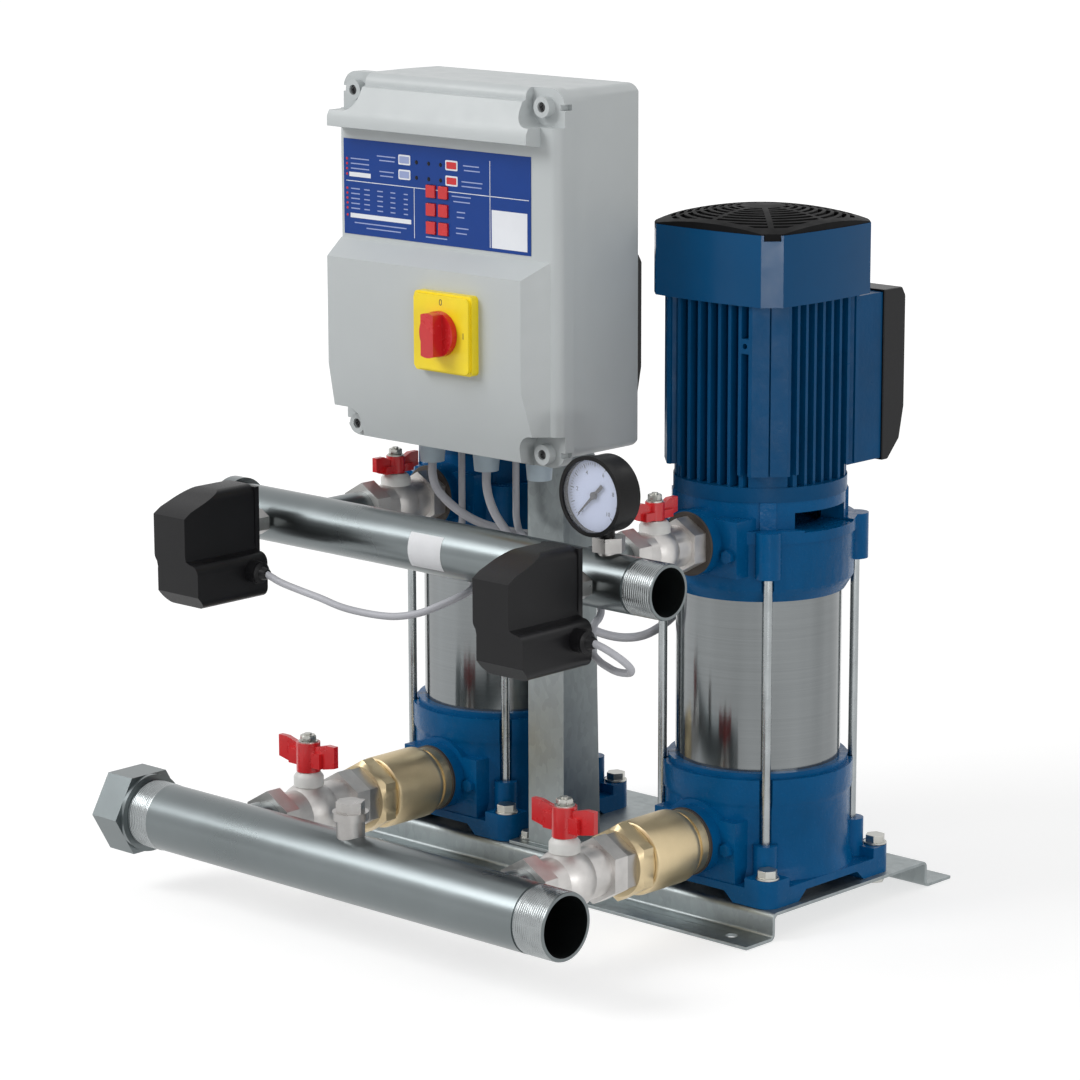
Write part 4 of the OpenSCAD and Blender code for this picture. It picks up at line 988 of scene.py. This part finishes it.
class BOOSTER_OT_valves(Operator):
    """Finish the valves, close the check valve barrels and put nuts on the handles"""
    bl_idname = "booster.valves"
    bl_label = "Valves"

    def execute(self, context):
        dress("ball_valve_bodies", "check_valve_bodies")
        bm = bmesh.new()
        for x in PUMP_X:
            at = seat((x, PORT_Y, SUCTION[1]), FORWARD)
            revolve(bm, CHECK_BARREL, at, 96, closed=True)
            hexagon(bm, at, *BARREL_HEX, bore=24.0)
        piece("check_barrels", bm, "cast_brass", smooth=30)
        bm = bmesh.new()
        for x in PUMP_X:
            for _, y, foot, _, _ in VALVE_NECKS:
                revolve(bm, NECK_COLLAR, seat((x, y, foot)), 48, closed=True)
        piece("neck_collars", bm, "white_collar")
        for n, x in zip((1, 2), PUMP_X):
            for kind, y, _, top, flats in VALVE_NECKS:
                handle = "%s_handle_%d" % (kind, n)
                dress(handle)
                bm = bmesh.new()
                at = seat((x, y, top))
                washer, stem = flats * 0.68, flats * 0.25
                revolve(bm, [(0, 0), (washer, 0), (washer, 1.2), (0, 1.2)], at, 40)
                hexagon(bm, at, flats, 1.2, 6.5)
                revolve(bm, [(0, 6.4), (stem, 6.4), (stem, 8.0), (0, 8.4)], at, 24)
                piece("%s_handle_nut_%d" % (kind, n), bm, "zinc_fixings", handle)
        return {"FINISHED"}


DIAL_START, DIAL_SWEEP = 225, 270  # degrees, from the right and then clockwise
DIAL_DEPTH, WINDOW_DEPTH = 6.98, 3.2  # behind the front of the case
TICK_TIP, FIGURE_RADIUS = 27.8, 20.2
LONG_TICK, SHORT_TICK = (24.0, 0.30), (25.6, 0.13)  # inner radius and half width


class BOOSTER_OT_gauge(Operator):
    """Finish the gauge, print its dial and glaze it"""
    bl_idname = "booster.gauge"
    bl_label = "Gauge"

    def execute(self, context):
        dress("gauge_case", "gauge_dial", "gauge_needle")
        x, y, z = GAUGE
        ink = front(x, y + DIAL_DEPTH, z)
        bm = bmesh.new()
        ticks = sizes().dial_ticks
        for k in range(ticks + 1):
            a = math.radians(DIAL_START - DIAL_SWEEP * k / ticks)
            inner, half = SHORT_TICK if k % 5 else LONG_TICK
            prism(bm, [(inner, -half), (TICK_TIP, -half), (TICK_TIP, half), (inner, half)],
                  ink @ Matrix.Rotation(a, 4, "Z"), 0, 0.08)
            if k % 10 == 0:
                spot = FIGURE_RADIUS * Vector((math.cos(a), math.sin(a), 0))
                figures(bm, str(k // 5), ink @ Matrix.Translation(spot), 5.0, 0.1)
        piece("dial_marks", bm, "dial_ink", smooth=20)
        bm = bmesh.new()
        revolve(bm, [(0, 0), (30.3, 0), (30.3, 1.6), (28.0, 2.0), (0, 2.2)],
                front(x, y + WINDOW_DEPTH, z), 96)
        piece("gauge_window", bm, "gauge_glass")
        return {"FINISHED"}


ENTRY_BUSH = ((3.3, -0.2), (9.4, -0.2), (9.4, 1.6), (8.0, 2.4), (6.0, 3.2), (5.0, 8.0),
              (4.2, 9.4), (3.3, 9.6))


class BOOSTER_OT_switches(Operator):
    """Finish the pressure switches and their cable entries"""
    bl_idname = "booster.switches"
    bl_label = "Pressure switches"

    def execute(self, context):
        dress("switch_bases", "switch_covers")
        for n, place in zip((1, 2), SWITCH_ENTRIES):
            bm = bmesh.new()
            revolve(bm, ENTRY_BUSH, seat(place, RIGHTWARD), 40, closed=True)
            piece("switch_entry_%d" % n, bm, "black_moulding")
        return {"FINISHED"}


# Marks on the panel's film: bars by x, x, z and z of their edges, dashes by x, x and z

FILM_BARS = (
    (-170, 6.7, 641.2, 641.8), (6.7, 53, 641.2, 641.8), (-85.3, -84.7, 597, 641.2),
    (6.7, 7.3, 597, 672), (-166, -139, 645.4, 649.4), (-165, -89, 608.8, 612.8),
    (9, 51, 597, 630))
FILM_DASHES = (
    (-164, -141, 661), (-164, -141, 656.6), (-164, -141, 652.2), (-131, -108, 665.5),
    (-128, -109, 661.8), (-128, -110, 652), (-127, -111, 648.2), (-25, -6, 665),
    (-24, -5, 661), (-27, -2, 651), (-27, -3, 647), (-39, -16, 637.5), (-37, -17, 633),
    (-33, -23, 624), (-33, -24, 619.5), (-34, -19, 610), (-34, -21, 605.5),
    (-160, -95, 604), (-145, -102, 600), (-71, -45, 599))
TABLE_DASHES = (11, 7, 7, 6, 5)  # widths of the five columns of the small table
TABLE_LEFT, TABLE_TOP = -164, 634.2
COLUMN_STEP, ROW_STEP = 16.5, 4.4
PALE_WINDOWS = ((-96.7, 665), (-96.7, 652))
RED_WINDOWS = ((-39, 664.5), (-39, 651))
DARK_LAMPS = ((-82, 664), (-82, 650.5), (-67, 664), (-67, 650.5), (-52.5, 664),
              (-52.5, 650.5))
RED_LAMPS = [(-168.8, z) for z in (661, 656.6, 652.2, 647.4, 634.7, 630.3, 625.9, 621.5,
                                   617.1, 610.8)]
LID_SCREWS = ((-162, 422), (-162, 722), (66, 422), (66, 722))


def film_marks():
    """Bars, dashes, windows and lamps on the film, each finish one piece."""
    film = front(0, LABEL_Y, 0)
    white, pale, red, dark = [bmesh.new() for _ in range(4)]

    def bar(bm, x0, x1, z0, z1, proud):
        prism(bm, [(x0, z0), (x1, z0), (x1, z1), (x0, z1)], film, -0.02, proud)

    for edges in FILM_BARS:
        bar(white, *edges, 0.12)
    for row in range(5):
        for column, width in enumerate(TABLE_DASHES):
            x, z = TABLE_LEFT + COLUMN_STEP * column, TABLE_TOP - ROW_STEP * row
            bar(pale, x, x + width, z, z + 1.0, 0.08)
    for x0, x1, z in FILM_DASHES:
        bar(pale, x0, x1, z, z + 1.0, 0.08)
    for panes, places in ((pale, PALE_WINDOWS), (red, RED_WINDOWS)):
        for x, z in places:
            at = film @ Matrix.Translation((x, z, 0))
            prism(white, rounded(14.6, 8.8, 1.2), at, -0.02, 0.3)
            prism(panes, rounded(11.8, 6.0, 0.8), at, 0.2, 0.55)
    for bm, places, profile, steps in (
            (dark, DARK_LAMPS, ((0, 0.9), (1.2, 0.7), (1.9, 0.0), (0, 0)), 24),
            (red, RED_LAMPS, ((0, 0.6), (0.8, 0.5), (1.2, 0.0), (0, 0)), 20)):
        for x, z in places:
            revolve(bm, profile, film @ Matrix.Translation((x, z, 0)), steps)
    piece("label_dashes", pale, "label_pale", smooth=20)
    piece("label_marks", white, "label_white", smooth=20)
    piece("label_windows", red, "red_moulding", smooth=20)
    piece("label_lamps", dark, "black_moulding")


class BOOSTER_OT_panel(Operator):
    """Finish the control panel and mount its windows, marks and screws"""
    bl_idname = "booster.panel"
    bl_label = "Control panel"

    def execute(self, context):
        dress("panel_box", "panel_lid", "panel_label", "isolator_plate", "isolator_knob",
              "cable_glands", *["key_%d" % k for k in range(1, 7)])
        film_marks()
        bm = bmesh.new()
        for x, z in LID_SCREWS:
            cross_head(bm, front(x, LID_SCREW_Y, z), 4.1, 2.6)
        piece("lid_screws", bm, "blackened_screws")
        bm = bmesh.new()
        plate = front(ISOLATOR[0], PLATE_Y, ISOLATOR[1])
        for figure, place in (("0", (0, 27.0, 0)), ("1", (27.0, 0, 0))):
            figures(bm, figure, plate @ Matrix.Translation(place), 8.0, 0.12)
        piece("isolator_figures", bm, "dial_ink", smooth=20)
        return {"FINISHED"}


class BOOSTER_OT_cables(Operator):
    """Run the four cables"""
    bl_idname = "booster.cables"
    bl_label = "Cables"

    def execute(self, context):
        s = sizes()
        for n in (1, 2):
            cable("switch_cable_%d" % n, s.cable_switch, "medium")
            cable("motor_cable_%d" % n, s.cable_motor, "stiff")
        return {"FINISHED"}


class BOOSTER_PT_sidebar(Panel):
    """Colours, sizes and steps of the booster set"""
    bl_label = "Booster Set"
    bl_idname = "BOOSTER_PT_sidebar"
    bl_space_type = "VIEW_3D"
    bl_region_type = "UI"
    bl_category = "Booster Set"

    def draw(self, context):
        for group in (context.scene.booster_colours, context.scene.booster_sizes,
                      context.scene.booster_studio):
            box = self.layout.box()
            for key in group.__annotations__:
                box.prop(group, key)
        for step in STEPS:
            self.layout.operator("booster." + step)


STEPS = ("finishes", "studio", "cables", "base", "pumps", "motors", "pipes", "valves",
         "gauge", "switches", "panel")
CLASSES = (BoosterColours, BoosterSizes, BoosterStudio, BOOSTER_OT_finishes,
           BOOSTER_OT_studio, BOOSTER_OT_base, BOOSTER_OT_pumps, BOOSTER_OT_motors,
           BOOSTER_OT_pipes, BOOSTER_OT_valves, BOOSTER_OT_gauge, BOOSTER_OT_switches,
           BOOSTER_OT_panel, BOOSTER_OT_cables, BOOSTER_PT_sidebar)


def register():
    for cls in CLASSES:
        bpy.utils.register_class(cls)
    bpy.types.Scene.booster_colours = PointerProperty(type=BoosterColours)
    bpy.types.Scene.booster_sizes = PointerProperty(type=BoosterSizes)
    bpy.types.Scene.booster_studio = PointerProperty(type=BoosterStudio)


def unregister():
    del bpy.types.Scene.booster_colours
    del bpy.types.Scene.booster_sizes
    del bpy.types.Scene.booster_studio
    for cls in reversed(CLASSES):
        bpy.utils.unregister_class(cls)


def main():
    register()
    for step in STEPS:
        getattr(bpy.ops.booster, step)()
    bpy.context.view_layer.update()


if __name__ == "__main__":
    main()
